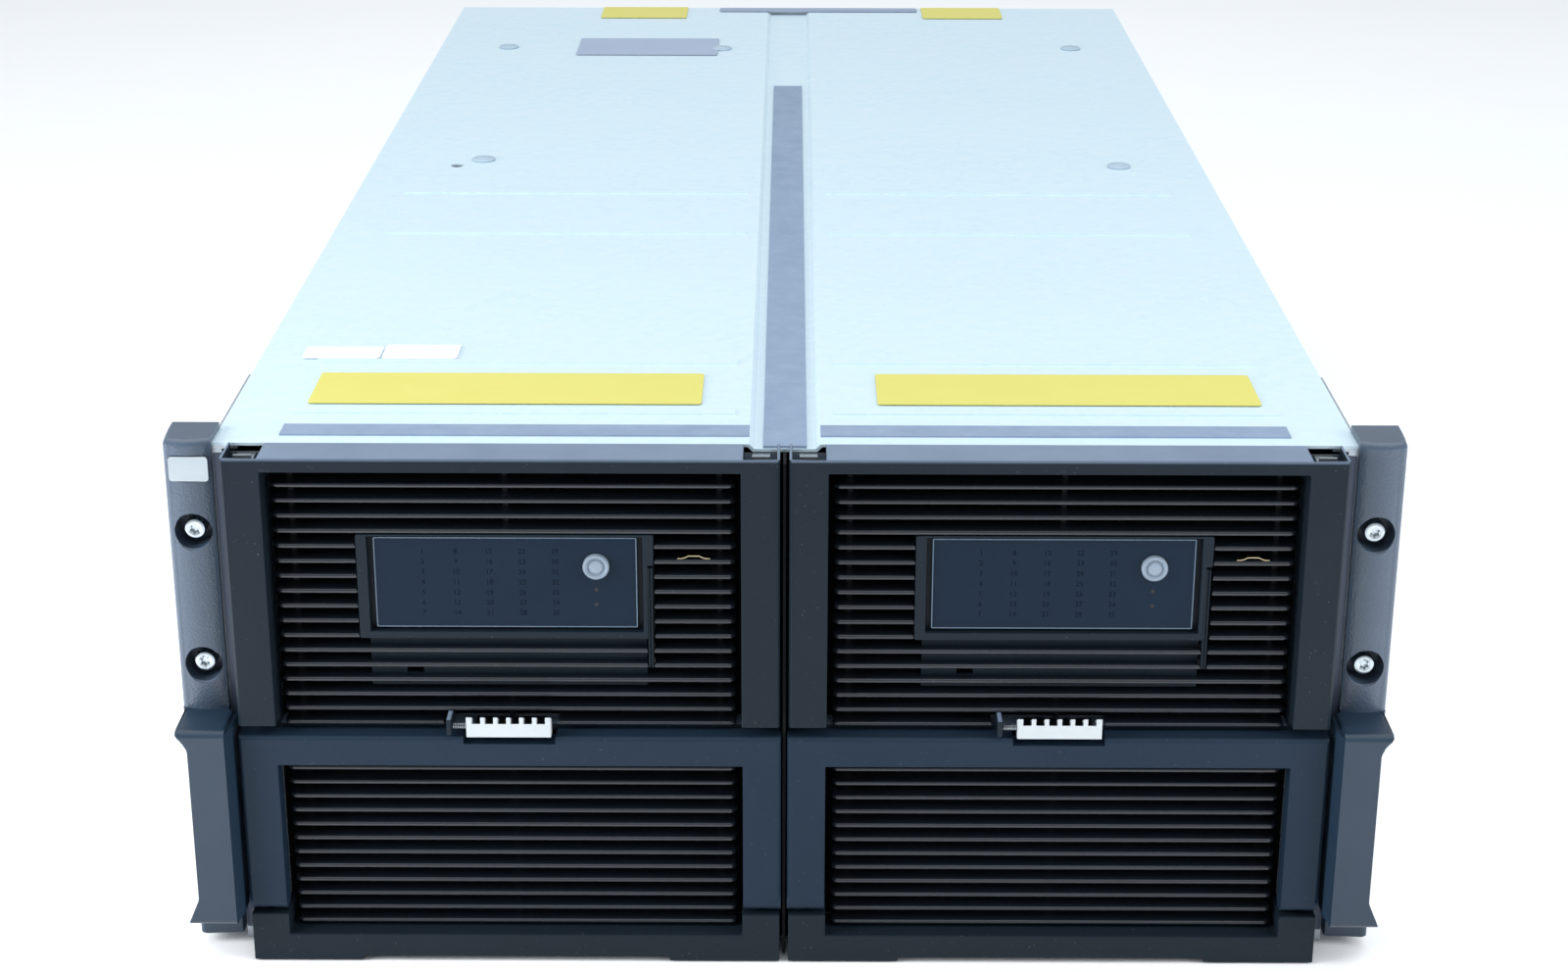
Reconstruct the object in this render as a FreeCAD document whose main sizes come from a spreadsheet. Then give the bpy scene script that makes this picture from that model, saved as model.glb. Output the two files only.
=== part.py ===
"""Rack-mounted disk enclosure with two full-depth sliding drawers.

Lengths are millimetres. +Z is up, the drawer fronts face -Y, and +X is to the right of someone
who faces them. The origin is the middle of the footprint, on the plane that the base rests on.
Within each sub-part, Y counts from the front faces of the rack ears.
"""
import FreeCAD
import Part
import math
import os
import re
import Sketcher

# Driving dimensions: name, value and meaning
SIZES = [
    ("rack_width", 482.6, "over both rack flanges and grips"),
    ("screw_spacing", 465.1, "between the rack screws of the two ears"),
    ("screw_low", 127.0, "height of the lower rack screws"),
    ("screw_rise", 57.15, "from the lower to the upper rack screws"),
    ("screw_radius", 3.0, "rack screw shank"),
    ("screw_head_radius", 4.2, "rack screw head"),
    ("screw_head_height", 9.6, "rack screw head"),
    ("screw_reach", 15.0, "shank behind the rack flange"),
    ("screw_neck_radius", 2.6, "thin neck of a rack screw, which keeps it in its ear"),
    ("screw_neck_reach", 0.5, "end of the neck behind the rack flange"),
    ("sheet", 1.2, "steel sheet"),
    ("clearance", 0.3, "between pieces that move past each other"),
    ("overshoot", 1.0, "how far a cut runs past the piece"),
    ("chassis_width", 447.8, "outside"),
    ("chassis_height", 219.6, "outside"),
    ("chassis_front", 5.6, "front edge behind the ear faces"),
    ("chassis_rear", 895.0, "rear edge behind the ear faces"),
    ("base_flange", 10.0, "upturned edge of the base pan"),
    ("side_flange", 10.0, "top edge of a side panel"),
    ("side_return", 3.8, "front edge of a side panel"),
    ("channel_width", 24.0, "floor of the formed channel in the top cover"),
    ("channel_depth", 2.0, "formed channel in the top cover"),
    ("hole_x", -178.0, "open hole in the top cover, from the middle"),
    ("hole_y", 448.5, "open hole behind the ear faces"),
    ("hole_radius", 3.5, "open hole in the top cover"),
    ("bead_width", 5.0, "cross bead in the top cover"),
    ("bead_height", 0.5, "cross bead in the top cover"),
    ("bead_inner", 20.0, "inner end of a bead, from the middle"),
    ("bead_outer", 199.0, "outer end of a bead, from the middle"),
    ("bead_first", 43.0, "front bead behind the ear faces"),
    ("bead_second", 108.0, "second bead behind the ear faces"),
    ("bead_third", 314.0, "third bead behind the ear faces"),
    ("bead_fourth", 392.0, "rear bead behind the ear faces"),
    ("strip_width", 17.0, "centre seal strip"),
    ("strip_rear", 653.0, "rear end of the centre seal strip"),
    ("strip_height", 1.0, "centre seal strip"),
    ("strip_setback", 1.0, "centre seal strip behind the cover's front edge"),
    ("gasket_front", 14.0, "front edge of the front seal strips"),
    ("gasket_width", 12.5, "front seal strips, front to back"),
    ("gasket_height", 0.6, "front seal strips"),
    ("gasket_inner", 14.0, "inner end of a front seal strip, from the middle"),
    ("divider_proud", 8.0, "front edge of the divider ahead of the ear faces"),
    ("divider_foot", 9.0, "foot of the divider"),
    ("ear_top", 222.2, "top of the ear covers"),
    ("ear_split", 107.5, "seam between ear cover and grip"),
    ("ear_bottom", 4.8, "underside of the ear"),
    ("ear_depth", 22.5, "ear moulding, front to back"),
    ("ear_overhang", 1.2, "ear moulding outboard of the rack flange"),
    ("ear_round", 3.0, "outer front corner of the ear"),
    ("flange_leg", 68.0, "side leg of the rack flange"),
    ("flange_sheet", 1.5, "rack flange"),
    ("flange_low", 6.0, "bottom of the rack flange"),
    ("flange_high", 219.0, "top of the rack flange"),
    ("counterbore_radius", 7.4, "screw well in the ear cover"),
    ("counterbore_depth", 13.0, "screw well in the ear cover"),
    ("badge_width", 16.2, "blank badge recess"),
    ("badge_height", 10.9, "blank badge recess"),
    ("badge_low", 205.1, "lower edge of the badge recess"),
    ("badge_depth", 0.6, "blank badge recess"),
    ("grip_proud", 22.0, "ear grip ahead of the ear faces"),
    ("grip_low", 20.7, "underside of the ear grip"),
    ("grip_arm", 11.0, "height of a grip arm"),
    ("grip_wall", 4.5, "front wall of the ear grip"),
    ("grip_web", 3.7, "inner wall of the ear grip"),
    ("grip_overhang", 2.0, "grip inboard of the ear"),
    ("grip_setback", 4.5, "outer edge of the bar inside the arms"),
    ("grip_round", 3.0, "front edges of the ear grip"),
    ("grip_tip", 1.4, "outer tip of a grip arm, upright"),
    ("grip_flare_high", 6.5, "height of the curve from the upper arm into the bar"),
    ("grip_flare_low", 10.5, "height of the curve from the bar into the lower arm"),
    ("grip_flare_round", 5.0, "curve between a grip arm and the bar"),
    ("drawer_width", 215.75, "bezel"),
    ("drawer_gap", 3.5, "between the two bezels"),
    ("bezel_proud", 14.0, "drawer front ahead of the ear faces"),
    ("bezel_back", 5.0, "rear face of the bezel behind the ear faces"),
    ("bezel_top", 220.0, "top of the upper bezel"),
    ("bezel_bottom", 106.5, "bottom of the upper bezel"),
    ("bezel_stile", 15.2, "side of the bezel frame"),
    ("bezel_rail", 5.7, "top of the bezel frame"),
    ("bezel_edge", 1.2, "edge bevel of the bezel"),
    ("pocket_inset", 1.2, "skin in front of and beside a corner pocket"),
    ("pocket_width", 13.0, "corner pocket in the top of the bezel"),
    ("pocket_depth", 8.0, "corner pocket in the top of the bezel"),
    ("ledge_bottom", 100.0, "ledge under the latch"),
    ("ledge_top", 103.4, "ledge under the latch"),
    ("spring_post_drop", 1.0, "top of the spring's post below the latch's top"),
    ("louvre_pitch", 6.35, "between louvre bars"),
    ("louvre_height", 2.0, "louvre bar"),
    ("louvre_depth", 10.0, "louvre bar, front to back"),
    ("louvre_recess", 7.0, "louvre noses behind the bezel front"),
    ("louvre_end_gap", 2.3, "between a louvre end and the bezel frame"),
    ("louvre_bevel", 5.0, "nose corners of a louvre bar, seen from above"),
    ("louvre_nose_bevel", 0.6, "nose edges of a louvre bar, seen from the end"),
    ("louvre_break_gap", 2.0, "between the broken louvre and the latch's parts"),
    ("rib_width", 2.0, "upright rib behind the louvres"),
    ("rib_inset", 6.4, "outer ribs from the ends of the bars"),
    ("upper_first", 206.5, "height of the top louvre"),
    ("upper_count", 17, "louvres in the upper grille"),
    ("lower_first", 84.8, "height of the top louvre of the lower grille"),
    ("lower_count", 12, "louvres in the lower grille"),
    ("skirt_low", 120.0, "bottom of the closed skirt below the display"),
    ("skirt_width", 110.0, "closed skirt below the display"),
    ("skirt_setback", 4.0, "skirt behind the louvre noses"),
    ("skirt_gauge", 1.5, "skirt"),
    ("skirt_hole_x", -37.6, "hole in the skirt, from the middle of the drawer"),
    ("skirt_hole_z", 127.0, "height of the hole in the skirt"),
    ("skirt_hole_width", 6.6, "hole in the skirt"),
    ("skirt_hole_height", 3.4, "hole in the skirt"),
    ("display_width", 116.4, "display frame"),
    ("display_height", 44.1, "display frame"),
    ("display_low", 142.0, "bottom of the display frame"),
    ("display_proud", 7.0, "display frame ahead of the ear faces"),
    ("display_rim", 4.2, "sides of the display frame"),
    ("display_sill", 3.0, "bottom of the display frame"),
    ("display_head", 0.8, "top of the display frame"),
    ("display_recess", 4.5, "depth of the display frame"),
    ("display_round", 0.8, "corners of the display frame"),
    ("guide_width", 2.0, "upright guide at the right of the display"),
    ("guide_depth", 4.5, "upright guide, front to back"),
    ("guide_setback", 0.4, "guide behind the frame's face"),
    ("guide_low", 129.4, "bottom of the guide"),
    ("guide_high", 172.0, "top of the guide"),
    ("guide_groove", 0.7, "groove along the guide"),
    ("guide_notch", 2.4, "step in the frame for the guide"),
    ("guide_notch_high", 173.4, "top of the step in the frame"),
    ("window_width", 103.4, "display window"),
    ("window_height", 38.3, "display window"),
    ("window_rise", 1.1, "display window above the frame's bottom"),
    ("window_depth", 2.5, "display window"),
    ("button_x", 35.6, "button from the middle of the drawer"),
    ("button_z", 172.3, "height of the button"),
    ("button_radius", 5.25, "button cap"),
    ("button_cap", 3.2, "button cap, front to back"),
    ("button_stem_radius", 3.0, "button stem"),
    ("button_stem", 6.5, "button stem, front to back"),
    ("button_edge", 0.6, "bevel round the button cap"),
    ("button_travel", 1.0, "button stroke"),
    ("latch_width", 33.7, "latch"),
    ("latch_low", 102.5, "bottom of the latch"),
    ("latch_height", 8.7, "latch"),
    ("latch_proud", 15.0, "latch ahead of the ear faces"),
    ("latch_plate", 5.0, "thumb plate of the latch, front to back"),
    ("latch_block", 28.0, "tongue behind the thumb plate"),
    ("latch_block_top", 105.2, "top of the tongue"),
    ("latch_block_back", 0.5, "rear of the tongue ahead of the ear faces"),
    ("latch_notch", 3.4, "grip notch in the latch"),
    ("latch_notch_pitch", 5.15, "between grip notches"),
    ("latch_notch_depth", 2.7, "grip notch in the latch"),
    ("latch_notch_fall", 3.2, "fall of a grip notch's floor towards the back"),
    ("latch_notch_count", 6, "grip notches"),
    ("latch_travel", 3.0, "latch stroke"),
    ("spring_length", 5.6, "latch spring"),
    ("spring_height", 2.9, "latch spring"),
    ("spring_width", 2.9, "strip of the latch spring, front to back"),
    ("spring_gauge", 0.9, "strip of the latch spring, measured upright"),
    ("spring_z", 106.6, "height of the latch spring"),
    ("spring_post", 2.0, "post that the spring bears on"),
    ("handle_extra", 0.5, "handle wider than the bezel, each side"),
    ("handle_top", 102.0, "top of the pull handle"),
    ("handle_bar", 12.8, "height of the handle's top bar"),
    ("handle_leg", 15.3, "width of a handle leg"),
    ("handle_depth", 10.0, "pull handle, front to back"),
    ("handle_bottom", 23.0, "lower end of the handle legs"),
    ("handle_notch_gap", 1.5, "between the latch and the ends of the notch under it"),
    ("handle_notch_depth", 3.0, "notch under the latch"),
    ("handle_edge", 1.2, "edge bevel of the handle"),
    ("pin_radius", 2.0, "handle pivot pin"),
    ("pin_length", 13.0, "handle pivot pin"),
    ("pin_clearance", 0.1, "handle bore over the pin"),
    ("lug_width", 3.0, "pivot lug"),
    ("lug_radius", 3.0, "pivot lug"),
    ("lug_round", 2.9, "corners of the pivot lug"),
    ("lug_riser", 6.0, "root of the pivot lug, front to back"),
    ("lip_top", 22.0, "top of the lip's end posts"),
    ("lip_bar_top", 12.6, "top of the lip's bar"),
    ("lip_bar_bottom", 2.6, "bottom of the lip's bar"),
    ("lip_foot", 45.0, "foot at each end of the lip"),
    ("lip_low", 0.6, "bottom of the lip's feet"),
    ("slide_depth", 12.7, "telescopic slide, wall to tray"),
    ("slide_height", 45.0, "telescopic slide"),
    ("slide_middle_z", 100.0, "height of the slide's middle line"),
    ("slide_gauge", 1.5, "slide member sheet"),
    ("slide_play", 0.5, "between slide members, across"),
    ("outer_lip_share", 0.7, "lip of the outer member, as a share of the slide's depth"),
    ("middle_web_share", 0.25, "web of the middle member, as a share of the slide's depth"),
    ("inner_lip_share", 0.45, "lip of the inner member, as a share of the slide's depth"),
    ("slide_front", 10.0, "front end of the slides behind the ear faces"),
    ("slide_rear", 745.0, "rear end of the slides behind the ear faces"),
    ("tray_floor", 4.0, "underside of the tray"),
    ("tray_top", 196.0, "top of the tray walls"),
    ("tray_rear", 746.0, "rear of the tray behind the ear faces"),
    ("rear_window_edge", 14.0, "sheet left round the window in the tray's rear wall"),
    ("rear_window_sill", 30.0, "that window above the backplane"),
    ("plate_low", 3.4, "bottom of the drawer front plate"),
    ("plate_high", 216.0, "top of the drawer front plate"),
    ("tab_width", 7.0, "bent tab in a bezel pocket"),
    ("tab_inset", 4.0, "tab from the side of the bezel"),
    ("tab_reach", 11.0, "tab ahead of the front plate"),
    ("tab_rise", 2.6, "turned-up end of the tab"),
    ("window_web", 3.0, "web between air windows in the front plate"),
    ("air_low", 112.0, "bottom of the upper air windows"),
    ("air_high", 203.0, "top of the upper air windows"),
    ("air_half", 82.0, "half width of the air windows"),
    ("air_skirt", 119.0, "bottom of the closed area below the display"),
    ("air_lower_low", 20.0, "bottom of the lower air window"),
    ("air_lower_high", 80.0, "top of the lower air window"),
    ("standoff", 4.0, "rib that carries the drive backplane"),
    ("standoff_width", 6.0, "rib that carries the drive backplane"),
    ("standoff_spread", 120.0, "between the two ribs"),
    ("board", 1.6, "circuit board"),
    ("board_side_gap", 1.0, "backplane to the tray's sides"),
    ("board_end_gap", 3.0, "backplane to the tray's ends"),
    ("connector_width", 8.0, "drive connector, across"),
    ("connector_length", 44.0, "drive connector, front to back"),
    ("connector_height", 5.5, "drive connector"),
    ("drive_width", 26.1, "disk drive, across"),
    ("drive_length", 101.6, "disk drive, front to back"),
    ("drive_height", 147.0, "disk drive, bottom to top"),
    ("drive_pitch_x", 38.6, "between drives, across"),
    ("drive_pitch_y", 103.5, "between drives, front to back"),
    ("drive_columns", 5, "drives across a drawer"),
    ("drive_rows", 7, "drives along a drawer"),
    ("drive_first", 66.0, "middle of the front row behind the ear faces"),
    ("carrier_height", 8.0, "carrier cap on a drive"),
    ("carrier_lever", 5.0, "height of the carrier lever's low end"),
    ("lever_start", 34.0, "high end of the carrier cap, front to back"),
    ("lever_slope", 8.0, "slope down to the carrier lever"),
    ("midplane", 2.4, "midplane board"),
    ("midplane_front", 749.0, "front face of the midplane behind the ear faces"),
    ("midplane_low", 6.0, "bottom of the midplane"),
    ("midplane_high", 212.0, "top of the midplane"),
    ("midplane_air", 70.0, "width of an air window in the midplane"),
    ("midplane_air_high", 60.0, "height of an air window in the midplane"),
    ("shelf_low", 108.9, "underside of the rear shelf"),
    ("module_gap", 0.3, "between a rear module and its bay"),
    ("module_plug", 1.4, "module connector ahead of its housing"),
    ("module_plug_width", 40.0, "module connector"),
    ("module_plug_height", 14.0, "module connector"),
    ("module_plug_low", 8.0, "module connector above the underside"),
    ("module_plug_margin", 3.0, "between a connector and the air window above it"),
    ("pull_proud", 22.0, "module pull behind the chassis"),
    ("pull_height", 76.0, "module pull"),
    ("pull_width", 10.0, "module pull"),
    ("pull_bar", 7.0, "bar of a module pull"),
    ("pull_inset", 5.0, "module pull from the side of its module"),
    ("pull_round", 5.0, "outer corners of a module pull"),
    ("inlet_width", 27.4, "power inlet"),
    ("inlet_height", 20.0, "power inlet"),
    ("inlet_depth", 15.0, "power inlet"),
    ("inlet_edge", 12.0, "power inlet from the side of its module"),
    ("inlet_low", 5.0, "power inlet above the underside"),
    ("vent_width", 62.0, "recessed vent of a power supply"),
    ("vent_height", 58.0, "recessed vent of a power supply"),
    ("vent_depth", 3.0, "recessed vent of a power supply"),
    ("vent_edge", 8.0, "vent from the edges of its module"),
    ("port_width", 22.0, "port of an I/O module"),
    ("port_height", 10.0, "port of an I/O module"),
    ("port_depth", 16.0, "port of an I/O module"),
    ("port_spread", 34.0, "between the ports of an I/O module"),
    ("port_shift", 12.0, "ports from the middle of the I/O module"),
    ("duct_radius", 38.0, "bore of a fan module"),
    ("duct_shift", 9.0, "bore from the middle of the fan module"),
    ("strut_width", 7.0, "strut that carries the fan motor"),
    ("strut_depth", 5.0, "strut that carries the fan motor"),
    ("strut_front", 30.0, "struts behind the front of the fan module"),
    ("strut_root", 1.0, "strut ends in the wall of the bore"),
    ("motor_radius", 15.0, "fan motor"),
    ("motor_depth", 6.0, "fan motor behind its struts"),
    ("hub_radius", 18.0, "fan rotor hub"),
    ("hub_depth", 26.0, "fan rotor hub"),
    ("hub_edge", 2.5, "bevel round the fan rotor hub"),
    ("blade_count", 5, "fan blades"),
    ("blade_chord", 24.0, "fan blade"),
    ("blade_gauge", 1.8, "fan blade"),
    ("blade_tip_gap", 1.6, "between blade tips and the bore"),
    ("blade_tip_trim", 4.0, "blade tips cut square short of the bore"),
    ("blade_root", 1.0, "blade ends in the hub"),
    ("blade_pitch", 40.0, "fan blade angle, degrees"),
]

# Places and sizes that follow from the driving dimensions
DERIVED = [
    ("ear_face", "(grip_proud - chassis_rear - pull_proud) / 2"),
    ("chassis_half", "chassis_width / 2"),
    ("wall_inside", "chassis_half - sheet"),
    ("rack_half", "rack_width / 2"),
    ("ear_half", "rack_half + ear_overhang"),
    ("deck_low", "chassis_height - sheet"),
    ("channel_low", "deck_low - channel_depth"),
    ("channel_floor", "chassis_height - channel_depth"),
    ("flange_back", "ear_depth + flange_sheet"),
    ("drawer_centre", "(drawer_gap + drawer_width) / 2"),
    ("bezel_half", "drawer_width / 2"),
    ("opening_half", "bezel_half - bezel_stile"),
    ("louvre_half", "opening_half - louvre_end_gap"),
    ("rib_spread", "louvre_half - rib_inset"),
    ("louvre_nose", "louvre_recess - bezel_proud"),
    ("display_high", "display_low + display_height"),
    ("display_floor", "display_recess - display_proud"),
    ("window_low", "display_low + display_sill + window_rise"),
    ("skirt_front", "louvre_nose + skirt_setback"),
    ("guide_right", "display_width / 2 - guide_setback"),
    ("guide_back", "guide_setback - display_proud + guide_depth"),
    ("latch_high", "latch_low + latch_height"),
    ("latch_plate_back", "latch_plate - latch_proud"),
    ("spring_y", "latch_plate / 2 - latch_proud"),
    ("spring_end", "-latch_width / 2 - clearance / 2"),
    ("spring_start", "spring_end - spring_length"),
    ("handle_half", "bezel_half + handle_extra"),
    ("leg_centre", "handle_half - handle_leg / 2"),
    ("handle_back", "handle_depth - bezel_proud"),
    ("pivot_y", "handle_depth / 2 - bezel_proud"),
    ("pivot_z", "handle_bottom + handle_depth / 2"),
    ("lug_gap", "lug_width / 2 + clearance"),
    ("tray_inner", "sheet / 2 + slide_depth"),
    ("tray_outer", "wall_inside - slide_depth"),
    ("tray_middle", "(tray_inner + tray_outer) / 2"),
    ("tray_front", "bezel_back + sheet"),
    ("tray_deck", "tray_floor + sheet"),
    ("board_low", "tray_deck + standoff"),
    ("board_high", "board_low + board"),
    ("drive_low", "board_high + connector_height"),
    ("drive_high", "drive_low + drive_height"),
    ("midplane_back", "midplane_front + midplane"),
    ("shelf_high", "shelf_low + sheet"),
    ("bay_outer", "chassis_half - 2 * sheet"),
    ("bay_split", "(bay_outer + sheet / 2) / 2"),
    ("bay_width", "bay_outer - bay_split - sheet / 2"),
    ("bay_step", "(bay_width + sheet) / 2"),
    ("module_half", "bay_width / 2 - module_gap"),
    ("module_front", "midplane_back + module_gap + module_plug"),
    ("pull_rear", "chassis_rear + pull_proud"),
    ("lower_module_low", "sheet + module_gap"),
    ("lower_module_high", "shelf_low - module_gap"),
    ("upper_module_low", "shelf_high + module_gap"),
    ("upper_module_high", "channel_low - module_gap"),
    ("strut_low", "module_front + strut_front"),
    ("motor_low", "strut_low + strut_depth"),
    ("motor_back", "motor_low + motor_depth"),
    ("hub_front", "motor_back + clearance"),
    ("blade_reach", "duct_radius - blade_tip_gap"),
]

doc = FreeCAD.newDocument("disk_enclosure")
sizes = doc.addObject("Spreadsheet::Sheet", "Sizes")
places = doc.addObject("App::VarSet", "Places")
owner = {}
pieces = []


def bound(text):
    """Returns an expression in which each size or place is named with the object that holds it."""
    def full_name(match):
        word = match.group()
        return f"{owner[word]}.{word}" if word in owner else word
    return re.sub(r"[a-z][a-z_]*", full_name, str(text))


def value(text):
    """Returns what an expression of sizes and places comes to, as a number."""
    return float(places.evalExpression(bound(text)))


def set_up_sizes():
    """Fills the sheet with the driving dimensions and works out the places that follow."""
    for line, (name, size, meaning) in enumerate(SIZES, 1):
        sizes.set(f"A{line}", meaning)
        sizes.set(f"B{line}", str(size))
        sizes.setAlias(f"B{line}", name)
        owner[name] = "Sizes"
    doc.recompute()
    for name, text in DERIVED:
        places.addProperty("App::PropertyFloat", name)
        places.setExpression(name, bound(text))
        owner[name] = "Places"
    doc.recompute()


def fix_point(sketch, spot, geometry, end):
    """Ties one point of a sketch to the two expressions that give its place."""
    for kind, text in zip(("DistanceX", "DistanceY"), spot):
        rule = sketch.addConstraint(Sketcher.Constraint(kind, -1, 1, geometry, end, value(text)))
        sketch.setExpression(f"Constraints[{rule}]", bound(text))


def polygon(*corners):
    """Returns an outline of straight sides. A corner is (x, y), or (x, y, radius) if rounded."""
    def draw(sketch):
        spots = [FreeCAD.Vector(value(corner[0]), value(corner[1]), 0) for corner in corners]
        arrive, leave, arcs = list(spots), list(spots), {}
        for i, corner in enumerate(corners):
            if len(corner) == 3:
                arcs[i], arrive[i], leave[i] = corner_arc(spots, i, value(corner[2]))
        first = sketch.GeometryCount
        for i in range(len(corners)):
            sketch.addGeometry(Part.LineSegment(leave[i], arrive[(i + 1) % len(corners)]), False)
        for i, corner in enumerate(corners):
            before, after = first + (i - 1) % len(corners), first + i
            if i in arcs:
                round_corner(sketch, corner, spots[i], arcs[i], before, after)
            else:
                sketch.addConstraint(Sketcher.Constraint("Coincident", before, 2, after, 1))
                fix_point(sketch, corner, after, 1)
    return draw


def corner_arc(spots, i, radius):
    """Returns the arc of a rounded corner, whether it turns left, and the two ends of the arc."""
    back = (spots[i - 1] - spots[i]).normalize()
    ahead = (spots[(i + 1) % len(spots)] - spots[i]).normalize()
    half = back.getAngle(ahead) / 2
    arrive = spots[i] + back * (radius / math.tan(half))
    leave = spots[i] + ahead * (radius / math.tan(half))
    centre = spots[i] + (back + ahead).normalize() * (radius / math.sin(half))
    turns_left = back.cross(ahead).z < 0
    start, end = (arrive, leave) if turns_left else (leave, arrive)
    angles = [math.atan2(point.y - centre.y, point.x - centre.x) for point in (start, end)]
    circle = Part.Circle(centre, FreeCAD.Vector(0, 0, 1), radius)
    return (Part.ArcOfCircle(circle, *angles), turns_left), arrive, leave


def round_corner(sketch, corner, spot, arc, before, after):
    """Joins two sides by an arc whose sides still meet at the corner that was given."""
    shape, turns_left = arc
    curve = sketch.addGeometry(shape, False)
    mark = sketch.addGeometry(Part.Point(spot), True)
    start, end = (1, 2) if turns_left else (2, 1)
    sketch.addConstraint([
        Sketcher.Constraint("Tangent", before, 2, curve, start),
        Sketcher.Constraint("Tangent", curve, end, after, 1),
        Sketcher.Constraint("PointOnObject", mark, 1, before),
        Sketcher.Constraint("PointOnObject", mark, 1, after),
    ])
    rule = sketch.addConstraint(Sketcher.Constraint("Radius", curve, value(corner[2])))
    sketch.setExpression(f"Constraints[{rule}]", bound(corner[2]))
    fix_point(sketch, corner, mark, 1)


def rectangle(left, right, low, high, radius=None):
    """Returns a rectangular outline, with rounded corners where a radius is given."""
    corners = [(left, low), (right, low), (right, high), (left, high)]
    return polygon(*[corner + (radius,) if radius else corner for corner in corners])


def circle(x, y, radius):
    """Returns a round outline."""
    def draw(sketch):
        middle = FreeCAD.Vector(value(x), value(y), 0)
        ring = Part.Circle(middle, FreeCAD.Vector(0, 0, 1), value(radius))
        index = sketch.addGeometry(ring, False)
        fix_point(sketch, (x, y), index, 3)
        rule = sketch.addConstraint(Sketcher.Constraint("Radius", index, value(radius)))
        sketch.setExpression(f"Constraints[{rule}]", bound(radius))
    return draw


def lying_on(**where):
    """Returns a test for edges that lie wholly at the given x, y or z."""
    reach = 0.02

    def test(edge):
        box = edge.BoundBox
        return all(
            abs(getattr(box, axis.upper() + end) - value(text)) < reach
            for axis, text in where.items()
            for end in ("Min", "Max")
        )
    return test


class Piece:
    """One sub-part: a body whose sketches and features are bound to the sizes."""

    def __init__(self, label, x="0", z="0"):
        self.body = doc.addObject("PartDesign::Body", label)
        self.body.Label = label
        for axis, place in (("x", x), ("y", "ear_face"), ("z", z)):
            self.body.setExpression(f"Placement.Base.{axis}", bound(place))
        pieces.append(self.body)

    def origin(self, role):
        """Returns the body's own base plane or axis."""
        return next(item for item in self.body.Origin.OriginFeatures if item.Role == role)

    def sketch(self, plane, offset, outlines):
        """Draws outlines on a plane parallel to one of the base planes."""
        sketch = self.body.newObject("Sketcher::SketchObject", "outline")
        sketch.AttachmentSupport = [(self.origin(plane + "_Plane"), "")]
        sketch.MapMode = "FlatFace"
        along = f"-({offset})" if plane == "XZ" else offset
        sketch.setExpression("AttachmentOffset.Base.z", bound(along))
        for draw in outlines:
            draw(sketch)
        return sketch

    def finish(self, feature):
        """Makes a new feature the body's result."""
        self.body.Tip = feature
        doc.recompute()
        return feature

    def extrude(self, kind, plane, start, end, outlines):
        """Adds a pad or a pocket that runs from start to end along the plane's axis."""
        feature = self.body.newObject(kind, "extrusion")
        feature.Profile = self.sketch(plane, start, outlines)
        feature.setExpression("Length", bound(f"({end}) - ({start})"))
        feature.Reversed = (plane == "XZ") == (kind == "PartDesign::Pad")
        return self.finish(feature)

    def pad(self, plane, start, end, *outlines):
        """Adds material."""
        return self.extrude("PartDesign::Pad", plane, start, end, outlines)

    def cut(self, plane, start, end, *outlines):
        """Takes material away, and makes sure that the cut met the piece."""
        before = self.body.Shape.Volume
        feature = self.extrude("PartDesign::Pocket", plane, start, end, outlines)
        if self.body.Shape.Volume > before - 0.01:
            raise RuntimeError(f"a cut missed {self.body.Label}")
        return feature

    def turn(self, *outlines):
        """Turns outlines, drawn across and along the body's Y axis, about that axis."""
        feature = self.body.newObject("PartDesign::Revolution", "turning")
        sketch = self.sketch("XY", "0", outlines)
        feature.Profile = sketch
        feature.ReferenceAxis = (sketch, ["V_Axis"])
        feature.Angle = 360
        return self.finish(feature)

    def row(self, axis, spacing, count, features=None, backwards=False):
        """Repeats features, or the whole piece, in a straight row."""
        pattern = self.body.newObject("PartDesign::LinearPattern", "row")
        if features:
            pattern.Originals = features
        else:
            pattern.TransformMode = "Whole shape"
        pattern.Direction = (self.origin(axis + "_Axis"), [""])
        pattern.setExpression("Length", bound(f"({spacing}) * ({count} - 1)"))
        pattern.setExpression("Occurrences", bound(count))
        pattern.Reversed = backwards
        return self.finish(pattern)

    def ring(self, features, count):
        """Repeats features round the body's Y axis."""
        pattern = self.body.newObject("PartDesign::PolarPattern", "ring")
        pattern.Originals = features
        pattern.Axis = (self.origin("Y_Axis"), [""])
        pattern.Angle = 360
        pattern.setExpression("Occurrences", bound(count))
        return self.finish(pattern)

    def bevel_edges(self, size, *tests):
        """Bevels the edges that pass any of the tests."""
        tip = self.body.Tip
        names = [
            f"Edge{i}" for i, edge in enumerate(tip.Shape.Edges, 1)
            if any(test(edge) for test in tests)
        ]
        bevel = self.body.newObject("PartDesign::Chamfer", "bevel")
        bevel.Base = (tip, names)
        bevel.setExpression("Size", bound(size))
        return self.finish(bevel)


def build_base_pan():
    """The floor of the chassis, with upturned edges inside the side panels."""
    pan = Piece("base_pan")
    edge, inside = "chassis_half", "wall_inside - sheet"
    pan.pad("XZ", "chassis_front", "chassis_rear", polygon(
        (f"-({edge})", "0"), (edge, "0"), (edge, "sheet"), ("wall_inside", "sheet"),
        ("wall_inside", "sheet + base_flange"), (inside, "sheet + base_flange"), (inside, "sheet"),
        (f"-({inside})", "sheet"), (f"-({inside})", "sheet + base_flange"),
        ("-wall_inside", "sheet + base_flange"), ("-wall_inside", "sheet"), (f"-({edge})", "sheet"),
    ))


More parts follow.
